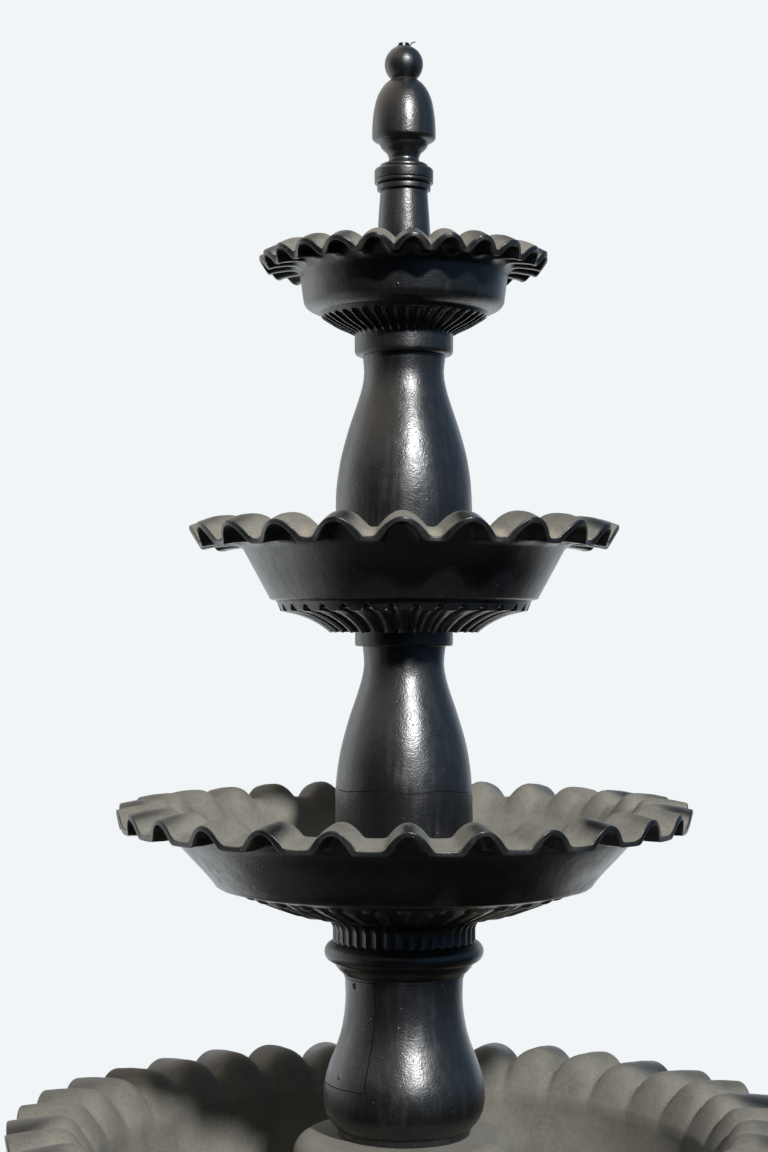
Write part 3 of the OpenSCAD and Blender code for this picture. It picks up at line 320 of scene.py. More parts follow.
def turned(profile, copies, steps, closed=True, start=0.0, angle=2 * math.pi):
    """Spins a profile about the fountain's axis, as equal sectors that are then joined."""
    bm = bmesh.new()
    layers = [bm.verts.layers.float.new(name) for name in LAYERS]
    points = [p for i, p in enumerate(profile.points)
              if i == 0 or math.dist(p[:2], profile.points[i - 1][:2]) > 1e-3]
    count = len(points)
    verts = []
    for i, point in enumerate(points):
        vert = bm.verts.new((point[0] * math.cos(start), point[0] * math.sin(start), point[1]))
        before = points[i - 1 if closed or i else 0]
        after = points[(i + 1) % count if closed or i < count - 1 else i]
        along = Vector((after[0] - before[0], after[1] - before[1])).normalized()
        for layer, value in zip(layers, point[2:] + (along.y, -along.x)):
            vert[layer] = value
        verts.append(vert)
    for a, b in zip(verts, verts[1:] + verts[:1] if closed else verts[1:]):
        bm.edges.new((a, b))
    about = {"cent": (0, 0, 0), "axis": (0, 0, 1)}
    bmesh.ops.spin(bm, geom=bm.verts[:] + bm.edges[:], angle=angle / copies, steps=steps, **about)
    if copies > 1:
        bmesh.ops.spin(bm, geom=bm.verts[:] + bm.edges[:] + bm.faces[:], angle=angle * (copies - 1) / copies,
                       steps=copies - 1, use_duplicate=True, **about)
        bmesh.ops.remove_doubles(bm, verts=bm.verts[:], dist=1e-3)
    return bm


def tags(bm):
    """The layers that turned() made, by name."""
    return SimpleNamespace(**{name: bm.verts.layers.float[name] for name in LAYERS})


def outward(vert, layer):
    """Direction out of a turned shape's surface at one of its vertices."""
    turn = math.atan2(vert.co.y, vert.co.x)
    radial = vert[layer.normal_r]
    return Vector((radial * math.cos(turn), radial * math.sin(turn), vert[layer.normal_z]))


def cast_skin(bm, swell, grain):
    """Gives a turned shape the slow waves of a sand casting: swell in mm, grain in mm."""
    layer = tags(bm)
    for v in bm.verts:
        v.co += outward(v, layer) * (swell * noise.noise(v.co / grain))


def finish(bm, name, material, nodes, body=ROOT):
    """Turns a shaped bmesh, in millimetres, into a finished piece that stands for its CAD nodes."""
    bmesh.ops.scale(bm, vec=(MM, MM, MM), verts=bm.verts[:])
    bmesh.ops.recalc_face_normals(bm, faces=bm.faces[:])
    for layer in LAYERS[1:]:
        bm.verts.layers.float.remove(bm.verts.layers.float[layer])
    mesh = bpy.data.meshes.new(name)
    bm.to_mesh(mesh)
    bm.free()
    mesh.shade_smooth()
    mesh.set_sharp_from_angle(angle=SHARP_EDGE)
    mesh.materials.append(material)
    piece = bpy.data.objects.new(name, mesh)
    bpy.context.scene.collection.objects.link(piece)
    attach(piece, body)
    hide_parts(*nodes)


# Scalloped rims, on which a way is a share of the way from the mouth out to the edge

RIM_KEYS = ((0, 0), (0.12, 0.62), (0.27, 1), (0.66, 0.8))
TOP_WAYS = (0.975, 0.93, 0.88, 0.81, 0.73, 0.65, 0.57, 0.49, 0.42, 0.35, 0.29, 0.235, 0.185, 0.14, 0.1,
            0.065, 0.03, 0)
UNDER_WAYS = (0.15, 0.2, 0.26, 0.33, 0.41, 0.5, 0.6, 0.7, 0.8, 0.88, 0.94)
GAIN_KEYS = ((-0.1, 0), (0, 0.07), (0.12, 0.3), (0.27, 0.72), (0.66, 0.97), (1, 1))
FOLD_DEPTH = -GAIN_KEYS[0][0]
EDGE_ROUND = 1.3
UNDER_DROOP = 0.35
UNDER_DUST = 0.05
EDGE_DUST = 0.25
CREST_UNEVEN = 0.04
CREST_WEAR = 0.6
WEAR_UNEVEN = 0.35


def rim_height(rim, way, droop):
    """Height of the rim's top or underside above the wall's top."""
    peak = rim.lift + droop
    return peak * through(RIM_KEYS + ((1, rim.lift / peak),), way)


def rim_profile(profile, rim, wall):
    """Adds the rim to a profile that has come up the outside of the wall."""
    joint_z = rim.rim_z - rim.lift
    width = rim.rim_r - rim.mouth_r
    ways = [w for w in UNDER_WAYS if w * width > wall + 2]
    under_droop = UNDER_DROOP * rim.droop
    below = [(rim.mouth_r + w * width, joint_z + rim_height(rim, w, under_droop) - RIM_T) for w in ways]
    profile.add(below, dust=UNDER_DUST, way=ways, under=1.0)
    inset = rim.rim_r - 3 * EDGE_ROUND
    under_z = rim.rim_z - RIM_T
    corners = [(inset, under_z), (rim.rim_r, under_z), (rim.rim_r, rim.rim_z), (inset, rim.rim_z)]
    edge = rounded(corners, EDGE_ROUND)[:-2]
    depths = [(rim.rim_z - z) / RIM_T for _, z in edge]
    profile.add(edge, dust=EDGE_DUST, way=[1.0] * len(edge), under=depths)
    above = [(rim.mouth_r + w * width, joint_z + rim_height(rim, w, rim.droop)) for w in TOP_WAYS]
    profile.add(above, dust=(rim.dust, 1.0), way=list(TOP_WAYS))


def inner_ways(points, rim):
    """Places on the rim of the points below the mouth, so that its folds run down the wall."""
    run, ways = 0.0, [0.0]
    for a, b in zip(points, points[1:]):
        run += math.dist(a, b)
        ways.append(max(-run / (rim.rim_r - rim.mouth_r), NO_RIM / 2))
    return ways


def scallop(bm, rim, seed):
    """Raises the crests of a rim and lets them fade into the inside of the wall."""
    layer = tags(bm)
    pitch = 2 * math.pi / rim.crests
    squeeze = 1 - RIM_T / (rim.share * math.pi * rim.rim_r / rim.crests)
    for v in bm.verts:
        way, under = v[layer.way], v[layer.under]
        if way < -FOLD_DEPTH:
            continue
        turn = math.atan2(v.co.y, v.co.x)
        place = (turn - rim.az) / pitch - rim.sway * math.sin(4 * (turn - rim.az) + seed)
        crest = round(place) % rim.crests
        lobe = math.cos(math.pi * (place - round(place)) / rim.share / (1 - under * (1 - squeeze)))
        wave = (0.5 * (lobe + math.hypot(lobe, rim.soft))) ** rim.power
        gain = through(GAIN_KEYS, way)
        if under == 1:
            gain *= smooth(0.1, 0.42, way)
        rise = rim.crest_h * gain * wave * (1 + CREST_UNEVEN * math.sin(1.7 * crest + 2 * seed))
        upright = smooth(-0.05, 0.3, way)
        radial = v[layer.normal_r] * (1 - upright)
        climb = upright + v[layer.normal_z] * (1 - upright)
        back = rim.lean * smooth(0.6, 1, way) * (1 - min(1, wave))
        radius = math.hypot(v.co.x, v.co.y) + radial * rise - back
        v.co = Vector((radius * math.cos(turn), radius * math.sin(turn), v.co.z + climb * rise))
        if way >= 0 and under < 0.5:
            worn = CREST_WEAR + WEAR_UNEVEN * math.sin(2.3 * crest + seed)
            v[layer.dust] *= 1 - worn * min(1, wave) * smooth(0.1, 0.8, way)


def floor_ring(ring_r, seat_z, bore_r):
    """Floor of a bowl round the riser, with the ring that the column above stands round."""
    under_z = seat_z - FLOOR_T
    return [(ring_r, seat_z), (ring_r, seat_z + SPIGOT_H), (ring_r - SPIGOT_WALL, seat_z + SPIGOT_H),
            (ring_r - SPIGOT_WALL, seat_z), (PIPE_HOLE_R, seat_z), (PIPE_HOLE_R, under_z), (bore_r, under_z)]


def raise_all(bm, height):
    """Lifts a shape to its place in the stack."""
    bmesh.ops.translate(bm, vec=(0, 0, height), verts=bm.verts[:])


def push_out(bm, band, depth):
    """Moves the points of an ornament band along their normals: depth(along, turn) in mm."""
    layer = tags(bm)
    for v in bm.verts:
        if round(v[layer.band]) != band:
            continue
        turn = math.atan2(v.co.y, v.co.x)
        v.co += outward(v, layer) * depth(v[layer.along], turn)


def petal(turn, count):
    """Place across one of count equal petals, from -0.5 to 0.5."""
    place = turn * count / (2 * math.pi)
    return place - round(place)


# Finishes


def linear(colour):
    """sRGB colour, from 0 to 1, as linear RGBA."""
    return [c / 12.92 if c <= 0.04045 else ((c + 0.055) / 1.055) ** 2.4 for c in colour] + [1.0]


def add(tree, kind, inputs=None, out=0, **settings):
    """Adds a node and gives one of its outputs; inputs maps a socket to a value or to what feeds it."""
    node = tree.nodes.new("ShaderNode" + kind)
    for name, value in settings.items():
        setattr(node, name, value)
    for name, value in (inputs or {}).items():
        if isinstance(value, bpy.types.NodeSocket):
            tree.links.new(value, node.inputs[name])
        else:
            node.inputs[name].default_value = value
    return node.outputs[out] if node.outputs else None


# Settings that many nodes share, and the sockets of a mix of two colours
EASED = {"interpolation_type": "SMOOTHSTEP"}
COLOURS = {"data_type": "RGBA", "out": 2}
FIRST, SECOND = 6, 7


def new_material(name):
    """An empty node material, and its tree."""
    material = bpy.data.materials.new(name)
    material.use_nodes = True
    material.node_tree.nodes.clear()
    return material, material.node_tree


def per_metre(size_mm):
    """Texture scale whose features are about size_mm across."""
    return 1 / (size_mm * MM)


def cast_enamel(name, colours, base, haze, dust_bias=0.0, gloss=0.31):
    """Gloss enamel brushed on sand-cast iron: orange peel and pits break up the highlight,
    dry water dulls it in patches, and dust lies on what faces up and inside the bowls."""
    material, tree = new_material(name)
    place = add(tree, "TexCoord", out="Object")
    peel = add(tree, "TexNoise", {"Vector": place, "Scale": per_metre(2.4), "Detail": 3.0})
    lumps = add(tree, "TexNoise", {"Vector": place, "Scale": per_metre(14), "Detail": 2.0})
    patches = add(tree, "TexNoise", {"Vector": place, "Scale": per_metre(70), "Detail": 5.0,
                                     "Roughness": 0.6})
    grit = add(tree, "TexNoise", {"Vector": place, "Scale": per_metre(5), "Detail": 6.0, "Roughness": 0.7})
    runs = add(tree, "Mapping", {"Vector": place, "Scale": (1, 1, 0.12)})
    streaks = add(tree, "TexNoise", {"Vector": runs, "Scale": per_metre(9), "Detail": 4.0})
    cells = add(tree, "TexVoronoi", {"Vector": place, "Scale": per_metre(22)}, out="Distance")
    pit = add(tree, "MapRange", {"Value": cells, "From Min": 0.03, "From Max": 0.075, "To Min": 1.0,
                                 "To Max": 0.0})

    # Dust: what lies in the bowls and on the rims, or a little on anything that faces up
    lying = add(tree, "Attribute", out="Fac", attribute_name="dust")
    facing = add(tree, "SeparateXYZ", {"Vector": add(tree, "NewGeometry", out="Normal")}, out="Z")
    upward = add(tree, "MapRange", {"Value": facing, "From Min": 0.5, "From Max": 0.98}, **EASED)
    settled = add(tree, "Math", {0: upward, 1: 0.33}, operation="MULTIPLY")
    amount = add(tree, "Math", {0: lying, 1: settled}, operation="MAXIMUM")
    uneven = add(tree, "Math", {0: patches, 1: 0.4, 2: dust_bias - 0.2}, operation="MULTIPLY_ADD")
    cover = add(tree, "Math", {0: amount, 1: uneven}, operation="ADD")
    dust = add(tree, "MapRange", {"Value": cover, "From Min": 0.15, "From Max": 0.95}, **EASED)
    mottle = add(tree, "Math", {0: grit, 1: patches}, operation="ADD")
    shade = add(tree, "MapRange", {"Value": mottle, "From Min": 0.6, "From Max": 1.3}, **EASED)
    earth = add(tree, "Mix", {"Factor": shade, FIRST: linear(colours.dust_dark),
                              SECOND: linear(colours.dust)}, **COLOURS)
    thick = add(tree, "MapRange", {"Value": lying, "From Min": 1.0, "From Max": 1.5}, **EASED)
    silt = add(tree, "Mix", {"Factor": thick, FIRST: earth, SECOND: linear(colours.dust_pale)}, **COLOURS)

    # Paint: hazy where water has dried on it, with dust in its pits
    dried = add(tree, "Math", {0: patches, 1: streaks}, operation="ADD")
    dull = add(tree, "MapRange", {"Value": dried, "From Min": 0.9, "From Max": 1.35}, **EASED)
    paint = add(tree, "Mix", {"Factor": dull, FIRST: linear(base), SECOND: linear(haze)}, **COLOURS)
    filled = add(tree, "Math", {0: pit, 1: 0.2}, operation="MULTIPLY")
    coat = add(tree, "Mix", {"Factor": filled, FIRST: paint, SECOND: linear(colours.dust)}, **COLOURS)

    colour = add(tree, "Mix", {"Factor": dust, FIRST: coat, SECOND: silt}, **COLOURS)
    satin = add(tree, "MapRange", {"Value": dull, "To Min": gloss, "To Max": gloss + 0.12})
    rough = add(tree, "Mix", {"Factor": dust, "A": satin, "B": 0.85})
    relief = add(tree, "Math", {0: lumps, 1: 1.2, 2: peel}, operation="MULTIPLY_ADD")
    bumped = add(tree, "Bump", {"Height": relief, "Strength": 0.8, "Distance": 0.4 * MM})
    pitted = add(tree, "Bump", {"Height": pit, "Strength": 0.6, "Distance": 0.6 * MM, "Normal": bumped},
                 invert=True)
    surface = add(tree, "BsdfPrincipled", {"Base Color": colour, "Roughness": rough, "IOR": 1.62,
                                           "Normal": pitted})
    add(tree, "OutputMaterial", {"Surface": surface})
    return material


# The plain finishes: colour, metallic, roughness, width of the grain in mm, and wear
PLAIN_FINISHES = {
    # Zinc plate on drawn steel: grey and satin, with soft blotches
    "zinc_plate": ("zinc", 1.0, 0.42, 1.2, 0.12),
    # Turned brass: warm and bright, a little dulled by handling
    "turned_brass": ("brass", 1.0, 0.32, 1.0, 0.12),
    # Ground and polished steel ball: a clear highlight
    "polished_ball": ("zinc", 1.0, 0.12, 0.8, 0.04),
    # Moulded rubber: black and matt
    "moulded_rubber": ("rubber", 0.0, 0.75, 1.5, 0.12),
    # Vinyl that the lever was dipped in: red, with a soft gloss
    "dipped_vinyl": ("vinyl", 0.0, 0.4, 2.5, 0.12),
    # Moulded ABS: dark blue-grey and half matt
    "moulded_plastic": ("plastic", 0.0, 0.5, 0.8, 0.12),
    # Moulded ferrite: dark, grainy and rather matt
    "moulded_ferrite": ("ferrite", 0.0, 0.6, 1.0, 0.12),
    # Blackened steel wire and rod: dark, with a satin metal edge
    "blackened_steel": ("enamel_haze", 0.6, 0.4, 1.0, 0.12),
}


def plain_finish(name, colours, colour, metallic, rough, grain_mm, wear):
    """A machined or moulded finish with grain, soft blotches and uneven gloss."""
    material, tree = new_material(name)
    place = add(tree, "TexCoord", out="Object")
    grain = add(tree, "TexNoise", {"Vector": place, "Scale": per_metre(grain_mm), "Detail": 4.0})
    cloud = add(tree, "TexNoise", {"Vector": place, "Scale": per_metre(18), "Detail": 3.0})
    blotch = add(tree, "MapRange", {"Value": cloud, "From Min": 0.3, "From Max": 0.7}, **EASED)
    base = linear(getattr(colours, colour))
    dark = [c * (1 - 2 * wear) for c in base[:3]] + [1.0]
    tone = add(tree, "Mix", {"Factor": blotch, FIRST: dark, SECOND: base}, **COLOURS)
    gloss = add(tree, "MapRange", {"Value": grain, "To Min": max(0.05, rough - wear),
                                   "To Max": min(1.0, rough + wear)})
    bumped = add(tree, "Bump", {"Height": grain, "Strength": 0.5, "Distance": 0.05 * MM})
    surface = add(tree, "BsdfPrincipled", {"Base Color": tone, "Metallic": metallic, "Roughness": gloss,
                                           "Normal": bumped})
    add(tree, "OutputMaterial", {"Surface": surface})
    return material


def screw_steel(name, colours, worn_z, black_z):
    """Steel screws painted over with the panel: bare and grey up to worn_z, still black from black_z."""
    material, tree = new_material(name)
    place = add(tree, "TexCoord", out="Object")
    height = add(tree, "SeparateXYZ", {"Vector": place}, out="Z")
    painted = add(tree, "MapRange", {"Value": height, "From Min": worn_z * MM,
                                     "From Max": black_z * MM}, **EASED)
    grain = add(tree, "TexNoise", {"Vector": place, "Scale": per_metre(1.0), "Detail": 4.0})
    colour = add(tree, "Mix", {"Factor": painted, FIRST: linear(colours.zinc),
                               SECOND: linear(colours.enamel)}, **COLOURS)
    rough = add(tree, "MapRange", {"Value": grain, "To Min": 0.35, "To Max": 0.6})
    surface = add(tree, "BsdfPrincipled", {"Base Color": colour, "Metallic": 0.4, "Roughness": rough})
    add(tree, "OutputMaterial", {"Surface": surface})
    return material


def material_for(name):
    """The finish of that name, made when it is first asked for."""
    if name in bpy.data.materials:
        return bpy.data.materials[name]
    colours = bpy.context.scene.fountain.finishes
    if name == "cast_enamel":
        return cast_enamel(name, colours, colours.enamel, colours.enamel_haze)
    if name == "dusty_enamel":
        return cast_enamel(name, colours, colours.plinth, colours.dust_dark, dust_bias=0.45, gloss=0.5)
    if name == "screw_steel":
        return screw_steel(name, colours, LOW_COLUMN_Z + 120, LOW_COLUMN_Z + 180)
    return plain_finish(name, colours, *PLAIN_FINISHES[name])


# Pieces


def bowl(name, nodes, base_z, rim, wall_side, inner, floor, copies, steps, seed, ornaments):
    """One bowl: outside from its foot up to the rim, the rim, the inside and the floor."""
    profile = Profile()
    wall_side(profile)
    rim_profile(profile, rim, BOWL_WALL)
    profile.add(inner[1:], dust=0.95, way=inner_ways(inner, rim)[1:])
    profile.add(floor)
    bm = turned(profile, copies, steps)
    for band, depth in ornaments.items():
        push_out(bm, band, depth)
    scallop(bm, rim, seed)
    cast_skin(bm, 0.35, 38)
    raise_all(bm, base_z)
    finish(bm, name, material_for("cast_enamel"), nodes)


class FOUNTAIN_OT_lower_bowl(Operator):
    """Model the lower bowl, with its fluted neck and the leaves under it"""

    bl_idname = "fountain.lower_bowl"
    bl_label = "Lower Bowl"

    def execute(self, context):
        rim = millimetres(context.scene.fountain.lower)
        neck_r, neck_h, seat_z, turn_r, turn_z = 99.5, 18, 46, 263, 81
        spigot_r, column_r, ring_r = 64.5, 104.5, 87
        under_r, under_z = neck_r * 1.25, neck_h * 2
        joint_z, out_r = rim.rim_z - rim.lift, rim.mouth_r + BOWL_WALL
        bore = spigot_r - SPIGOT_WALL
        flutes, flute_d = 40, 2.4
        leaves, leaf_d, leaf_w, tip_from, tip_l, leaf_end = 30, 4.0, 0.47, 0.42, 0.36, 0.8
        rib_d, rib_w = 1.6, 0.05
        bead_d, bead_w, bead_l, bead_at = 4.5, 0.2, 0.07, 0.74

        def side(profile):
            profile.add([(bore, -SPIGOT_H), (spigot_r, -SPIGOT_H), (spigot_r, 0)])
            profile.add([(neck_r - 2, 0), (neck_r - 0.5, 0.5)])
            profile.add([(neck_r, z) for z in (2, 6, 10, 14)], band=1)
            profile.add(curve((neck_r, neck_h), (under_r, under_z), (0.04, 0.53), (0.41, 0.94), 10), band=2)
            profile.add(curve((under_r + 1, under_z), (turn_r - 3, turn_z - 2), (0.29, 0.3),
                              (0.58, 0.74), 34), band=3)
            profile.add(curve((turn_r, turn_z), (out_r, joint_z - 1), (0.2, 0.28), (0.68, 0.62), 14))

        def flute(along, turn):
            return -flute_d * (1 - (2 * petal(turn, flutes)) ** 2)

        def fading_flute(along, turn):
            return flute(along, turn) * (1 - smooth(0.55, 1, along))

        def leaf(along, turn):
            across = petal(turn, leaves)
            tip = max(0, (along - tip_from) / tip_l)
            body = 1 - (across / leaf_w) ** 2 - tip * tip
            lobe = leaf_d * math.sqrt(max(0, body)) if along < leaf_end else 0
            rib = rib_d * math.exp(-(across / rib_w) ** 2) * smooth(0.78, 0.6, along)
            between = across - math.copysign(0.5, across)
            off_bead = math.hypot(between / bead_w, (along - bead_at) / bead_l)
            bead = bead_d * math.sqrt(max(0, 1 - off_bead ** 2))
            return max(lobe, bead) * smooth(0, 0.3, along) + rib * smooth(0.1, 0.3, along)

        ornaments = {1: flute, 2: fading_flute, 3: leaf}
        inner = curve((rim.mouth_r, joint_z), (column_r, seat_z), (0.27, 0.56), (0.66, 0.9), 26)
        bowl("lower_bowl_casting", ["lower_bowl", "lower_rim"], LOW_BOWL_Z, rim, side, inner,
             floor_ring(ring_r, seat_z, bore), rim.crests, 24, 0.4, ornaments)
        return {"FINISHED"}


class FOUNTAIN_OT_middle_bowl(Operator):
    """Model the middle bowl, with the fluted hollow under its wall"""

    bl_idname = "fountain.middle_bowl"
    bl_label = "Middle Bowl"

    def execute(self, context):
        rim = millimetres(context.scene.fountain.middle)
        collar_r, collar_h, collar_edge, under_r = 68.5, 20, 2, 103
        step_r, step_z, step_h, wall_r, ledge, seat_z = 178, 49, 14, 187, 2.5, 42
        spigot_r, column_r, ring_r = 47.5, 104.5, 87
        joint_z, out_r = rim.rim_z - rim.lift, rim.mouth_r + BOWL_WALL
        wall_z = step_z + step_h + ledge
        bore = spigot_r - SPIGOT_WALL
        flutes, groove_az, groove, groove_d, ridge = 33, math.radians(264.4), 0.45, 5, 1.2
        band_lean, band_edge, notch_h = 6, 0.8, 0.7

        def side(profile):
            profile.add(rounded([(bore, -SPIGOT_H), (spigot_r, -SPIGOT_H), (spigot_r, 0),
                                 (collar_r - collar_edge, 0), (collar_r, collar_edge), (collar_r, collar_h),
                                 (under_r - 2, collar_h)], 1.5))
            foot_r = step_r - band_lean
            profile.add(curve((under_r, collar_h), (foot_r, step_z), (0.14, 0.36), (0.6, 0.98), 20), band=1)
            profile.add(straight((foot_r + band_edge, step_z + band_edge),
                                 (step_r + band_edge, step_z + step_h + band_edge), 10)[:-1], band=2)
            profile.add(rounded([(step_r, step_z + step_h), (wall_r, wall_z),
                                 ((wall_r + out_r) / 2, (wall_z + joint_z) / 2), (out_r, joint_z - 1)], 1.5))

        def across(turn):
            return abs(2 * petal(turn - groove_az, flutes))

        def flute(along, turn):
            inside = 1 - (across(turn) / groove) ** 2
            proud = ridge * smooth(groove, 1, across(turn)) * smooth(1, 0.9, along)
            return proud - groove_d * math.sqrt(max(0, inside))

        def notch(along, turn):
            width = groove * max(0.01, 1 - along / notch_h) ** 0.7
            inside = 1 - (across(turn) / width) ** 2
            return -groove_d * math.sqrt(max(0, inside)) * smooth(0.75, 0.4, along)

        ornaments = {1: flute, 2: notch}
        # The inside stays high enough for the flutes not to break through it
        inner = curve((rim.mouth_r, joint_z), (column_r, seat_z), (0.23, 0.7), (0.45, 0.92), 24)
        bowl("middle_bowl_casting", ["middle_bowl", "middle_rim"], MID_BOWL_Z, rim, side, inner,
             floor_ring(ring_r, seat_z, bore), flutes, 20, -1.15, ornaments)
        return {"FINISHED"}


class FOUNTAIN_OT_upper_bowl(Operator):
    """Model the upper bowl, with its fluted cone"""

    bl_idname = "fountain.upper_bowl"
    bl_label = "Upper Bowl"

    def execute(self, context):
        rim = millimetres(context.scene.fountain.upper)
        collar_r, collar_h, collar_round, cone_r, cone_z, seat_z = 69, 29, 7, 119, 60, 50
        spigot_r, post_r, ring_r = 47.5, 50, 35.5
        joint_z, out_r = rim.rim_z - rim.lift, rim.mouth_r + BOWL_WALL
        wall_foot = (out_r - 5, cone_z + 17)
        bore = spigot_r - SPIGOT_WALL
        flutes, flute_d, flute_w, ridge, crown_from, crown_l = 40, 6.5, 0.86, 3.0, 0.7, 0.2

        def side(profile):
            profile.add([(bore, -SPIGOT_H), (spigot_r, -SPIGOT_H), (spigot_r, 0)])
            profile.add(arc((collar_r - collar_round, collar_round), collar_round, -80, 0))
            profile.add([(collar_r, z) for z in (12, 18, 24)])
            profile.add(straight((collar_r, collar_h), (cone_r, cone_z), 22), band=1)
            profile.add(curve((cone_r + 1, cone_z + 0.3), wall_foot, (0.55, 0.18), (0.95, 0.47), 12))
            profile.add(straight(wall_foot, (out_r, joint_z - 1), 8)[1:])

        def flute(along, turn):
            across = 2 * petal(turn, flutes)
            crown = max(0, (along - crown_from) / crown_l)
            inside = 1 - abs(across / flute_w) ** 2.5 - crown * crown
            dip = flute_d * math.sqrt(max(0, inside)) * smooth(0, 0.12, along)
            proud = ridge * smooth(0.05, 0.6, along) * (1 - smooth(0.9, 0.99, along))
            return proud - dip

        inner = curve((rim.mouth_r, joint_z), (post_r, seat_z), (0.07, 0.7), (0.39, 1), 24)
        bowl("upper_bowl_casting", ["upper_bowl", "upper_rim"], UP_BOWL_Z, rim, side, inner,
             floor_ring(ring_r, seat_z, bore), flutes, 18, 2.3, {1: flute})
        return {"FINISHED"}


def drill(bm, at, radius, heights):
    """Drills a round hole through a flat floor, between its two faces."""
    mouths = []
    for z in heights:
        near = [f for f in bm.faces if abs(f.calc_center_median().z - z) < 0.1
                and (f.calc_center_median().xy - at).length < 1.5 * radius]
        bmesh.ops.delete(bm, geom=near, context="FACES")
        border = [e for e in bm.edges if e.is_boundary]
        ring = bmesh.ops.create_circle(bm, cap_ends=False, segments=48, radius=radius)["verts"]
        bmesh.ops.translate(bm, vec=(at.x, at.y, z), verts=ring)
        mouth = [e for e in bm.edges if e.verts[0] in ring and e.verts[1] in ring]
        bmesh.ops.bridge_loops(bm, edges=border + mouth)
        mouths += mouth
    bmesh.ops.bridge_loops(bm, edges=mouths)


class FOUNTAIN_OT_basin(Operator):
    """Model the basin on its foot ring"""

    bl_idname = "fountain.basin"
    bl_label = "Basin"

    def execute(self, context):
        rim = millimetres(context.scene.fountain.basin)
        floor_z, wall, foot_r, tread, foot_h, neck = 120, 8, 300, 30, 14, 22
        drain_y, drain_r = 210, 19
        joint_z, out_r = rim.rim_z - rim.lift, rim.mouth_r + wall
        under = floor_z - wall
        patch = 1.7 * drain_r
        profile = Profile()
        profile.add([(0, under), (drain_y - patch, under), (drain_y + patch, under)])
        profile.add([(foot_r - tread, under)])
        profile.add(rounded([(foot_r - tread, under - 6), (foot_r - tread, 0), (foot_r, 0), (foot_r, foot_h),
                             (foot_r - 8, foot_h + 8)], 3))
        profile.add(bezier((foot_r - 8, foot_h + 8), (foot_r - neck, foot_h + 36),
                           (foot_r - neck, under - 30), (foot_r - 4, under - 8), 12))
        profile.add(curve((foot_r, under), (out_r, joint_z - 1), (0.57, 0.01), (0.97, 0.44), 24))
        rim_profile(profile, rim, wall)
        inner = curve((rim.mouth_r, joint_z), (drain_y + 50, floor_z), (0.03, 0.56), (0.41, 1), 28)
        profile.add(inner[1:], dust=1.0, way=inner_ways(inner, rim)[1:])
        profile.add([(drain_y + patch, floor_z), (drain_y - patch, floor_z), (0, floor_z)], dust=1.0)
        bm = turned(profile, rim.crests, 20, closed=False)
        scallop(bm, rim, 3.7)
        drill(bm, Vector((0, drain_y)), drain_r, (under, floor_z))
        cast_skin(bm, 0.5, 60)
        for v in bm.verts:
            v.co.z = max(v.co.z, 0)
        finish(bm, "basin_casting", material_for("cast_enamel"),
               ["basin_foot", "basin", "basin_rim"])
        return {"FINISHED"}


class FOUNTAIN_OT_plinth(Operator):
    """Model the drum over the pump, with its water intakes"""

    bl_idname = "fountain.plinth"
    bl_label = "Plinth"

    def execute(self, context):
        outer, height, shoulder, wall, top_t, hole_r = 154, 273, 25, 9, 16, 21
        intake_w, intake_h, intakes, first_az = 44, 26, 6, math.radians(30)
        inner = outer - wall
        drum = Profile()
        drum.add([(inner, intake_h), (outer, intake_h)], dust=0.6)
        drum.add(straight((outer, intake_h), (outer, height - shoulder), 16)[1:-1], dust=(0.6, 0.7))
        drum.add(arc((outer - shoulder, height - shoulder), shoulder, 0, 90, 12), dust=(0.75, 1.0))
        drum.add([(100, height), (70, height), (hole_r, height)], dust=1.0)
        drum.add([(hole_r, height - top_t), (inner - shoulder, height - top_t)])
        drum.add([(inner, height - top_t - shoulder)])
        bm = turned(drum, 6, 30)
        cast_skin(bm, 0.5, 45)
        gap = 2 * math.asin(intake_w / 2 / outer)
        for k in range(intakes):
            middle = first_az + 2 * math.pi * k / intakes
            leg = Profile()
            leg.add([(inner, 0), (outer, 0), (outer, intake_h), (inner, intake_h)], dust=0.6)
            piece = turned(leg, 1, 12, start=middle + gap / 2, angle=2 * math.pi / intakes - gap)
            ends = [e for e in piece.edges if e.is_boundary]
            bmesh.ops.holes_fill(piece, edges=ends, sides=4)
            mesh = bpy.data.meshes.new("leg")
            piece.to_mesh(mesh)
            piece.free()
            bm.from_mesh(mesh)
            bpy.data.meshes.remove(mesh)
        raise_all(bm, PLINTH_Z)
        finish(bm, "plinth_drum", material_for("dusty_enamel"), ["plinth"])
        return {"FINISHED"}


def low_column_line():
    """Outside line of the lower column, from its foot up."""
    foot_r, foot_h, belly_r, belly_z = 92, 9, 112.5, 52
    waist_r, waist_z, top_r, top_z = 81.5, 196, 82.5, 219
    foot = [(foot_r - 2, 0), (foot_r, 2)]
    belly = bezier((foot_r, foot_h), (foot_r + 11, foot_h + 9), (belly_r, belly_z - 22),
                   (belly_r, belly_z), 12)
    rise = bezier((belly_r, belly_z), (belly_r, belly_z + 50), (waist_r, waist_z - 75),
                  (waist_r, waist_z), 30)
    neck = [((waist_r + top_r) / 2, (waist_z + top_z) / 2), (top_r, top_z)]
    return foot + belly + rise[1:] + neck


def radius_at(line, height):
    """Radius of a profile line at a height."""
    for (r0, z0), (r1, z1) in zip(line, line[1:]):
        if z0 <= height <= z1:
            return r0 + (r1 - r0) * (height - z0) / (z1 - z0)
    return line[-1][0]


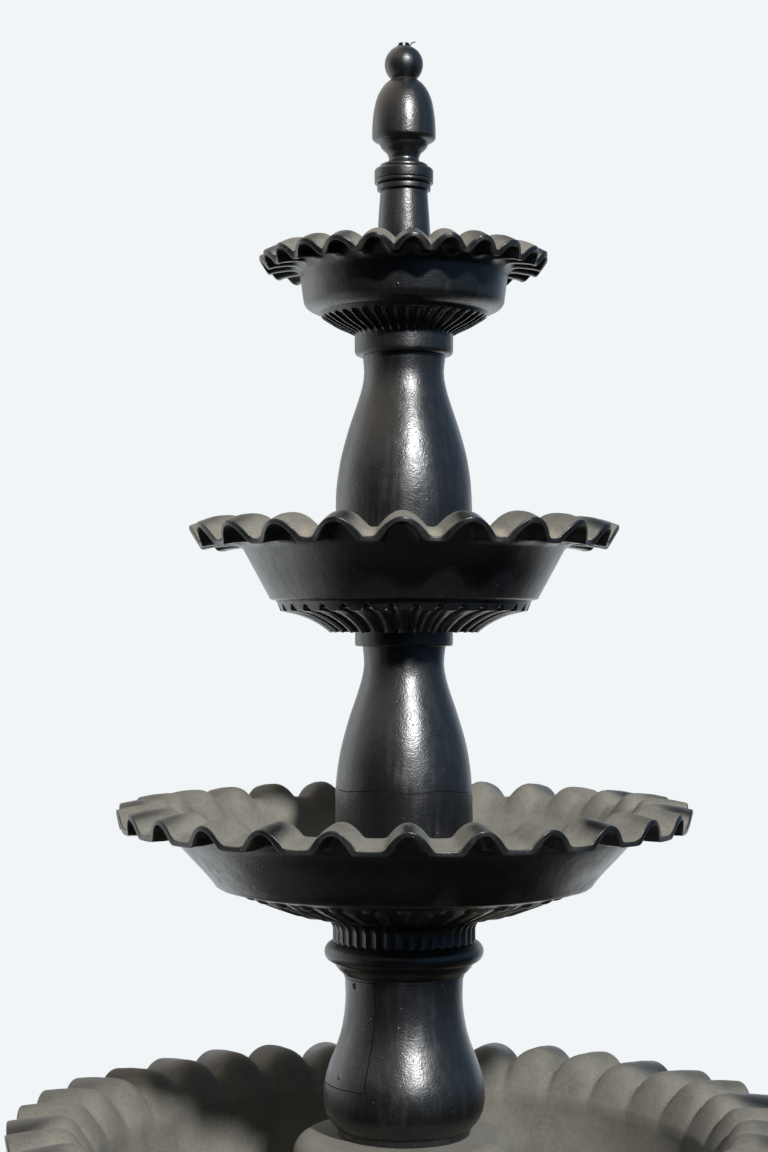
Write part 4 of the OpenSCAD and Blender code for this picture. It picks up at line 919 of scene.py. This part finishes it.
def sink_screw(bm, line, az, height, radius, depth):
    """Sinks a round hole for a screw head into the outside of the access panel."""
    out = Vector((math.cos(az), math.sin(az), 0))
    side = Vector((-out.y, out.x, 0))
    face = out * radius_at(line, height) + Vector((0, 0, height))

    def off_axis(point):
        gap = point - face
        return (gap - out * gap.dot(out)).length

    near = [f for f in bm.faces if off_axis(f.calc_center_median()) < 1.55 * radius
            and f.normal.dot(out) > 0.6 and f.calc_center_median().dot(out) > 0]
    bmesh.ops.delete(bm, geom=near, context="FACES")
    border = [e for e in bm.edges if e.is_boundary]
    ring = bmesh.ops.create_circle(bm, cap_ends=False, segments=32, radius=radius)["verts"]
    for v in ring:
        flat = side * v.co.x + Vector((0, 0, v.co.y + height))
        r = radius_at(line, flat.z)
        across = flat.dot(side)
        v.co = out * math.sqrt(r * r - across * across) + flat
    mouth = [e for e in bm.edges if e.verts[0] in ring and e.verts[1] in ring]
    bmesh.ops.bridge_loops(bm, edges=border + mouth)
    walls = bmesh.ops.extrude_edge_only(bm, edges=mouth)["geom"]
    bottom = [v for v in walls if isinstance(v, bmesh.types.BMVert)]
    for v in bottom:
        v.co += out * (face.dot(out) - depth - v.co.dot(out))
    bmesh.ops.edgeloop_fill(bm, edges=[e for e in walls if isinstance(e, bmesh.types.BMEdge)
                                       and e.verts[0] in bottom and e.verts[1] in bottom])


def thicken(bm, wall):
    """Gives an open skin a wall towards the fountain's axis."""
    skin = bm.faces[:]
    made = bmesh.ops.extrude_face_region(bm, geom=skin)["geom"]
    for v in (g for g in made if isinstance(g, bmesh.types.BMVert)):
        radius = math.hypot(v.co.x, v.co.y)
        v.co.x *= 1 - wall / radius
        v.co.y *= 1 - wall / radius
    bmesh.ops.recalc_face_normals(bm, faces=bm.faces[:])


class FOUNTAIN_OT_lower_column(Operator):
    """Model the lower column, its access panel and the collar on top"""

    bl_idname = "fountain.lower_column"
    bl_label = "Lower Column"

    def execute(self, context):
        panel = millimetres(context.scene.fountain.panel)
        line = low_column_line()
        top_r, top_z = line[-1]
        waist_r = min(r for r, _ in line)
        skin = Profile().add(line, dust=COLUMN_DUST)
        bm = turned(skin, 10, 20, closed=False, start=panel.az + panel.sweep / 2)
        bmesh.ops.bisect_plane(bm, geom=bm.verts[:] + bm.edges[:] + bm.faces[:],
                               plane_co=(0, 0, panel.low), plane_no=(0, 0, 1))

        def in_window(face):
            at = face.calc_center_median()
            turn = (math.atan2(at.y, at.x) - panel.az + math.pi) % (2 * math.pi) - math.pi
            return at.z > panel.low and abs(turn) < panel.sweep / 2

        bmesh.ops.delete(bm, geom=[f for f in bm.faces if in_window(f)], context="FACES")
        cast_skin(bm, 0.35, 40)
        bmesh.ops.recalc_face_normals(bm, faces=bm.faces[:])
        thicken(bm, COLUMN_WALL)
        raise_all(bm, LOW_COLUMN_Z)
        finish(bm, "lower_column_casting", material_for("cast_enamel"), ["lower_column"])

        margin = panel.seam / waist_r
        low, high = panel.low + panel.seam, top_z - panel.seam
        patch = Profile()
        patch.add([(radius_at(line, z), z) for _, z in straight((0, low), (0, high), 60)], dust=COLUMN_DUST)
        bm = turned(patch, 1, 44, closed=False, start=panel.az - panel.sweep / 2 + margin,
                    angle=panel.sweep - 2 * margin)
        bmesh.ops.recalc_face_normals(bm, faces=bm.faces[:])
        thicken(bm, COLUMN_WALL)
        for height in (panel.low + panel.screw_low, top_z - panel.screw_high):
            sink_screw(bm, line, panel.az, height, panel.sink_r, panel.sink)
        raise_all(bm, LOW_COLUMN_Z)
        finish(bm, "access_panel_casting", material_for("cast_enamel"), ["access_panel"],
               body="panel")

        bead_r, torus_r, step_r, step_h, height = 14, 111, 97, 19, 48
        bore, skirt_r, skirt_h, foot_r = 65, 73, 26, top_r + 1.5
        collar = Profile()
        collar.add(rounded([(bore, -skirt_h), (skirt_r, -skirt_h), (skirt_r, 0), (foot_r, 0)], 1.5))
        collar.add(curve((foot_r, 0.15 * step_h), (step_r, step_h), (0.5, 0.35), (0.95, 0.7)))
        collar.add(arc((torus_r - bead_r, height - bead_r), bead_r, -80, 85, 18), dust=(0.05, 0.4))
        collar.add([(80, height), (bore, height)])
        bm = turned(collar, 9, 20)
        cast_skin(bm, 0.25, 30)
        raise_all(bm, COLLAR_Z)
        finish(bm, "lower_collar_ring", material_for("cast_enamel"), ["lower_collar"])
        return {"FINISHED"}


class FOUNTAIN_OT_columns(Operator):
    """Model the middle and upper columns"""

    bl_idname = "fountain.columns"
    bl_label = "Columns"

    def execute(self, context):
        base_r, top_r, band_h, neck_h, height = 95.5, 56, 149, 21, 364

        def line(inset):
            low_r, high_r, neck_z = base_r - inset, top_r - inset, height - neck_h
            band = straight((low_r, 0), (low_r, band_h), 8)[:-1]
            rise = bezier((low_r, band_h), (low_r, band_h + 100), (high_r, neck_z - 45),
                          (high_r, neck_z), 40)
            return band + rise + [(high_r + 0.6, height - 12), (high_r + 2, height)]

        # The middle column's paint broke along the uneven seam of its mould
        seam_z, seam_w, waver, waver_l = 166, 2, 10, 70
        outside = line(0)
        for name, node, base_z, lip, groove in (
                ("middle_column_casting", "middle_column", MID_COLUMN_Z, 0.4, 0.9),
                ("upper_column_casting", "upper_column", UP_COLUMN_Z, 0, 0)):
            low, high = seam_z - seam_w / 2, seam_z + seam_w / 2
            below = [(r + lip, z) for r, z in outside if z < seam_z - 1.5 * seam_w]
            above = [(r, z) for r, z in outside if z > seam_z + 1.5 * seam_w]
            seam = [(radius_at(outside, low) + lip, low), (radius_at(outside, seam_z) - groove, seam_z),
                    (radius_at(outside, high), high)]
            profile = Profile().add(below + seam + above, dust=(COLUMN_DUST, 0.02))
            profile.add(line(COLUMN_WALL)[::-1])
            bm = turned(profile, 10, 20)
            for v in bm.verts:
                drift = waver * noise.noise(Vector((v.co.x, v.co.y, 0)) / waver_l)
                v.co.z += drift * smooth(30, 5, abs(v.co.z - seam_z))
            cast_skin(bm, 0.45, 42)
            raise_all(bm, base_z)
            finish(bm, name, material_for("cast_enamel"), [node])
        return {"FINISHED"}


class FOUNTAIN_OT_finial(Operator):
    """Model the spout post, its collar, the acorn and the ball"""

    bl_idname = "fountain.finial"
    bl_label = "Post and Finial"

    def execute(self, context):
        enamel = material_for("cast_enamel")

        def piece(name, node, profile, base_z):
            bm = turned(profile, 8, 20)
            cast_skin(bm, 0.2, 25)
            raise_all(bm, base_z)
            finish(bm, name, enamel, [node])

        base_r, top_r, wall, height = 42, 33, 6, 182

        def post_line(inset):
            return bezier((base_r - inset, 0), (base_r - inset - 2, 50),
                          (top_r - inset + 4.5, height - 52), (top_r - inset, height), 30)

        post = Profile().add(post_line(0), dust=(0.4, 0.0)).add(post_line(wall)[::-1])
        piece("spout_post_casting", "spout_post", post, POST_Z)

        ring_r, ring_h, spigot_r = 41.3, 32, 26.5
        low_r = ring_r - 3.7
        collar = Profile()
        collar.add([(FINIAL_BORE_R, -SPIGOT_H), (spigot_r, -SPIGOT_H), (spigot_r, 0)])
        collar.add(rounded([(low_r - 2, 0), (low_r, 0.8), (low_r, 8.2), (low_r - 2.4, 9.2),
                            (ring_r - 1, 10), (ring_r, 11.5), (ring_r, 14.6), (ring_r - 1.6, 15.5),
                            (ring_r, 16.4), (ring_r, ring_h - 3), (ring_r - 2.5, ring_h),
                            (ring_r - 9, ring_h)], 1.2), dust=0.05)
        collar.add([(FINIAL_BORE_R, ring_h)], dust=0.3)
        piece("post_collar_ring", "post_collar", collar, POST_COLLAR_Z)

        lip_r, neck_r, height, seat_r = 44.7, 21, 126, 17
        flare_r, cup_r = neck_r + 13, lip_r - 11.5
        acorn = Profile()
        acorn.add(rounded([(FINIAL_BORE_R, 0), (flare_r - 1, 0), (flare_r, 1.5), (flare_r - 0.5, 4.5),
                           (flare_r - 3, 6)], 1))
        acorn.add(bezier((flare_r - 3, 6), (neck_r + 2, 7), (neck_r, 10), (neck_r, 15), 10))
        acorn.add(bezier((neck_r + 1, 17), (neck_r + 2, 24), (cup_r - 3, 25), (cup_r, 32), 10))
        acorn.add(rounded([(cup_r + 0.4, 33), (cup_r + 1, 36), (lip_r - 3, 39.2), (lip_r, 42.5),
                           (lip_r, 47)], 1.4))
        acorn.add(curve((lip_r, 47), (seat_r + 0.5, height), (0.025, 0.48), (0.19, 0.83), 30)[1:])
        acorn.add([(FINIAL_BORE_R, height)])
        piece("finial_acorn_casting", "finial_acorn", acorn, ACORN_Z)

        ball_r, bore_r = 27, 7.7
        centre_z = math.sqrt(ball_r ** 2 - seat_r ** 2)
        low = math.degrees(math.asin(-centre_z / ball_r))
        high = math.degrees(math.acos(bore_r / ball_r))
        ball = Profile().add([(bore_r, 0), (seat_r, 0)])
        ball.add(arc((0, centre_z), ball_r, low, high, 40)[1:], dust=(0.0, 0.15))
        piece("finial_ball_casting", "finial_ball", ball, BALL_FOOT_Z)
        return {"FINISHED"}


class FOUNTAIN_OT_works(Operator):
    """Finish the pipes, valve, pump, bolts and nozzle, whose shapes come with the frame"""

    bl_idname = "fountain.works"
    bl_label = "Pump, Valve and Pipes"

    FINISH_OF = {
        "zinc_plate": ("anchor_bolts", "anchor_nuts", "riser_lower", "riser_middle", "riser_upper",
                       "pipe_couplings", "nut_washers", "hose_clamps", "valve_lever", "lever_nut",
                       "pump_shaft"),
        "turned_brass": ("drain_bush", "drain_nut", "lock_nuts", "valve_body", "valve_stem", "pump_outlet"),
        "polished_ball": ("valve_ball",),
        "moulded_rubber": ("drain_plug", "bowl_seals", "supply_hose", "pump_feet", "cable_gland"),
        "dipped_vinyl": ("lever_grip",),
        "moulded_plastic": ("pump_housing", "pump_cover", "pump_strainer", "impeller"),
        "moulded_ferrite": ("motor_magnet",),
        "screw_steel": ("panel_screws",),
        "blackened_steel": ("jet_nozzle", "nozzle_clip"),
    }

    def execute(self, context):
        for finish_name, nodes in self.FINISH_OF.items():
            for node in nodes:
                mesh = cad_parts[node].data
                mesh.materials.clear()
                mesh.materials.append(material_for(finish_name))
        return {"FINISHED"}


class FOUNTAIN_OT_stage(Operator):
    """Set up the floor, the soft lights and the camera"""

    bl_idname = "fountain.stage"
    bl_label = "Stage"

    def execute(self, context):
        scene = context.scene
        settings = scene.fountain.stage
        scene.view_settings.view_transform = "Standard"
        self.camera(scene, settings)
        self.floor(scene, settings)
        self.world(scene, settings)
        aim = Vector((0, 0, 1.05))
        self.softbox("key_light", aim, az=20, elevation=32, distance=12.0, size=(0.7, 0.7), power=2150)
        self.softbox("left_fill", aim, az=-120, elevation=12, distance=4.5, size=(2.4, 2.8), power=16)
        return {"FINISHED"}

    def camera(self, scene, settings):
        data = bpy.data.cameras.new("camera")
        data.lens = settings.focal
        data.sensor_width = 36
        data.clip_end = 100
        eye = bpy.data.objects.new("camera", data)
        eye.location = (0, -settings.distance, settings.height)
        eye.rotation_euler = (math.pi / 2 + settings.pitch, 0, settings.yaw)
        scene.collection.objects.link(eye)
        scene.camera = eye

    def softbox(self, name, aim, az, elevation, distance, size, power):
        """A soft rectangular light; az is measured to the right of the camera's side."""
        data = bpy.data.lights.new(name, "AREA")
        data.shape = "RECTANGLE"
        data.size, data.size_y = size
        data.energy = power
        lamp = bpy.data.objects.new(name, data)
        turn, up = math.radians(az), math.radians(elevation)
        away = Vector((math.sin(turn) * math.cos(up), -math.cos(turn) * math.cos(up), math.sin(up)))
        lamp.location = aim + away * distance
        lamp.rotation_euler = away.to_track_quat("Z", "Y").to_euler()
        bpy.context.scene.collection.objects.link(lamp)

    def floor(self, scene, settings):
        """A pale round floor that fades out round the foot."""
        radius, fade_from, fade_to = 1.25, 0.55, 0.925
        bm = bmesh.new()
        bmesh.ops.create_circle(bm, cap_ends=True, segments=96, radius=radius)
        mesh = bpy.data.meshes.new("floor")
        bm.to_mesh(mesh)
        bm.free()
        material, tree = new_material("pale_floor")
        place = add(tree, "TexCoord", out="Object")
        far = add(tree, "VectorMath", {0: place}, out="Value", operation="LENGTH")
        fade = add(tree, "MapRange", {"Value": far, "From Min": fade_from, "From Max": fade_to}, **EASED)
        matt = add(tree, "BsdfDiffuse", {"Color": linear(settings.floor)})
        mixed = add(tree, "MixShader", {0: fade, 1: matt, 2: add(tree, "BsdfTransparent")})
        add(tree, "OutputMaterial", {"Surface": mixed})
        mesh.materials.append(material)
        floor = bpy.data.objects.new("floor", mesh)
        scene.collection.objects.link(floor)

    def world(self, scene, settings):
        """A pale backdrop for the eye; for gloss and light, the same pale back and left, a dark front,
        a warm sky to the left and a blue one to the right."""
        world = bpy.data.worlds.new("studio")
        scene.world = world
        world.use_nodes = True
        tree = world.node_tree
        tree.nodes.clear()
        toward = add(tree, "TexCoord", out="Generated")
        x, y, z = (add(tree, "SeparateXYZ", {"Vector": toward}, out=axis) for axis in "XYZ")

        # Strength of the backdrop, brighter low down, and of the two skies
        back_left = add(tree, "Math", {0: x, 1: -0.55, 2: y}, operation="MULTIPLY_ADD")
        behind = add(tree, "MapRange", {"Value": back_left, "From Min": 0.0, "From Max": 0.8}, **EASED)
        low = add(tree, "MapRange", {"Value": z, "From Min": -0.5, "From Max": 0.5, "To Min": 1.55,
                                     "To Max": 0.5})
        pale = add(tree, "Math", {0: behind, 1: low}, operation="MULTIPLY")
        above = add(tree, "MapRange", {"Value": z, "From Min": 0.15, "From Max": 0.7}, **EASED)
        left = add(tree, "MapRange", {"Value": x, "From Min": 0.3, "From Max": -0.5}, **EASED)
        warm = add(tree, "Math", {0: above, 1: left}, operation="MULTIPLY")
        level = add(tree, "MapRange", {"Value": z, "From Min": -0.4, "From Max": 0.3}, **EASED)
        right = add(tree, "MapRange", {"Value": x, "From Min": -0.2, "From Max": 0.7}, **EASED)
        side = add(tree, "Math", {0: level, 1: right}, operation="MULTIPLY")
        blue = add(tree, "Math", {0: side, 1: 0.4, 2: 0.02}, operation="MULTIPLY_ADD")

        # Diffuse rays get less of it, which keeps the shaded sides dark
        diffuse = add(tree, "LightPath", out="Is Diffuse Ray")
        part = add(tree, "Math", {0: diffuse, 1: -0.65, 2: 1.0}, operation="MULTIPLY_ADD")
        glows = []
        for colour, amount in ((settings.backdrop, pale), (settings.warm_sky, warm),
                               (settings.blue_sky, blue)):
            strength = add(tree, "Math", {0: amount, 1: part}, operation="MULTIPLY")
            glows.append(add(tree, "Background", {"Color": linear(colour), "Strength": strength}))
        skies = add(tree, "AddShader", {0: glows[1], 1: glows[2]})
        around = add(tree, "AddShader", {0: glows[0], 1: skies})

        eye = add(tree, "LightPath", out="Is Camera Ray")
        passing = add(tree, "LightPath", out="Is Transmission Ray")
        seen = add(tree, "Math", {0: eye, 1: passing}, operation="MAXIMUM")
        shown = add(tree, "Background", {"Color": linear(settings.backdrop), "Strength": 1.0})
        add(tree, "OutputWorld", {"Surface": add(tree, "MixShader", {0: seen, 1: around, 2: shown})})


class FOUNTAIN_PT_panel(Panel):
    """Sidebar panel that lists the fountain's pieces"""

    bl_idname = "FOUNTAIN_PT_panel"
    bl_label = "Fountain"
    bl_space_type = "VIEW_3D"
    bl_region_type = "UI"
    bl_category = "Fountain"

    def draw(self, context):
        for operator in OPERATORS:
            self.layout.operator(operator.bl_idname)
        settings = context.scene.fountain
        for group in FountainSettings.__annotations__:
            box = self.layout.box()
            box.label(text=group.replace("_", " ").title())
            values = getattr(settings, group)
            for name in type(values).__annotations__:
                box.prop(values, name)


GROUPS = (BasinRim, LowerRim, MiddleRim, UpperRim, PanelSizes, Finishes, Stage, FountainSettings)
OPERATORS = (FOUNTAIN_OT_stage, FOUNTAIN_OT_basin, FOUNTAIN_OT_plinth, FOUNTAIN_OT_lower_column,
             FOUNTAIN_OT_lower_bowl, FOUNTAIN_OT_columns, FOUNTAIN_OT_middle_bowl, FOUNTAIN_OT_upper_bowl,
             FOUNTAIN_OT_finial, FOUNTAIN_OT_works)


def register():
    for cls in GROUPS + OPERATORS + (FOUNTAIN_PT_panel,):
        bpy.utils.register_class(cls)
    bpy.types.Scene.fountain = PointerProperty(type=FountainSettings)


def unregister():
    del bpy.types.Scene.fountain
    for cls in reversed(GROUPS + OPERATORS + (FOUNTAIN_PT_panel,)):
        bpy.utils.unregister_class(cls)


def main():
    """Registers the add-on, models every piece in order and writes the two boxes."""
    register()
    for operator in OPERATORS:
        group, name = operator.bl_idname.split(".")
        getattr(getattr(bpy.ops, group), name)()


if __name__ == "__main__":
    main()
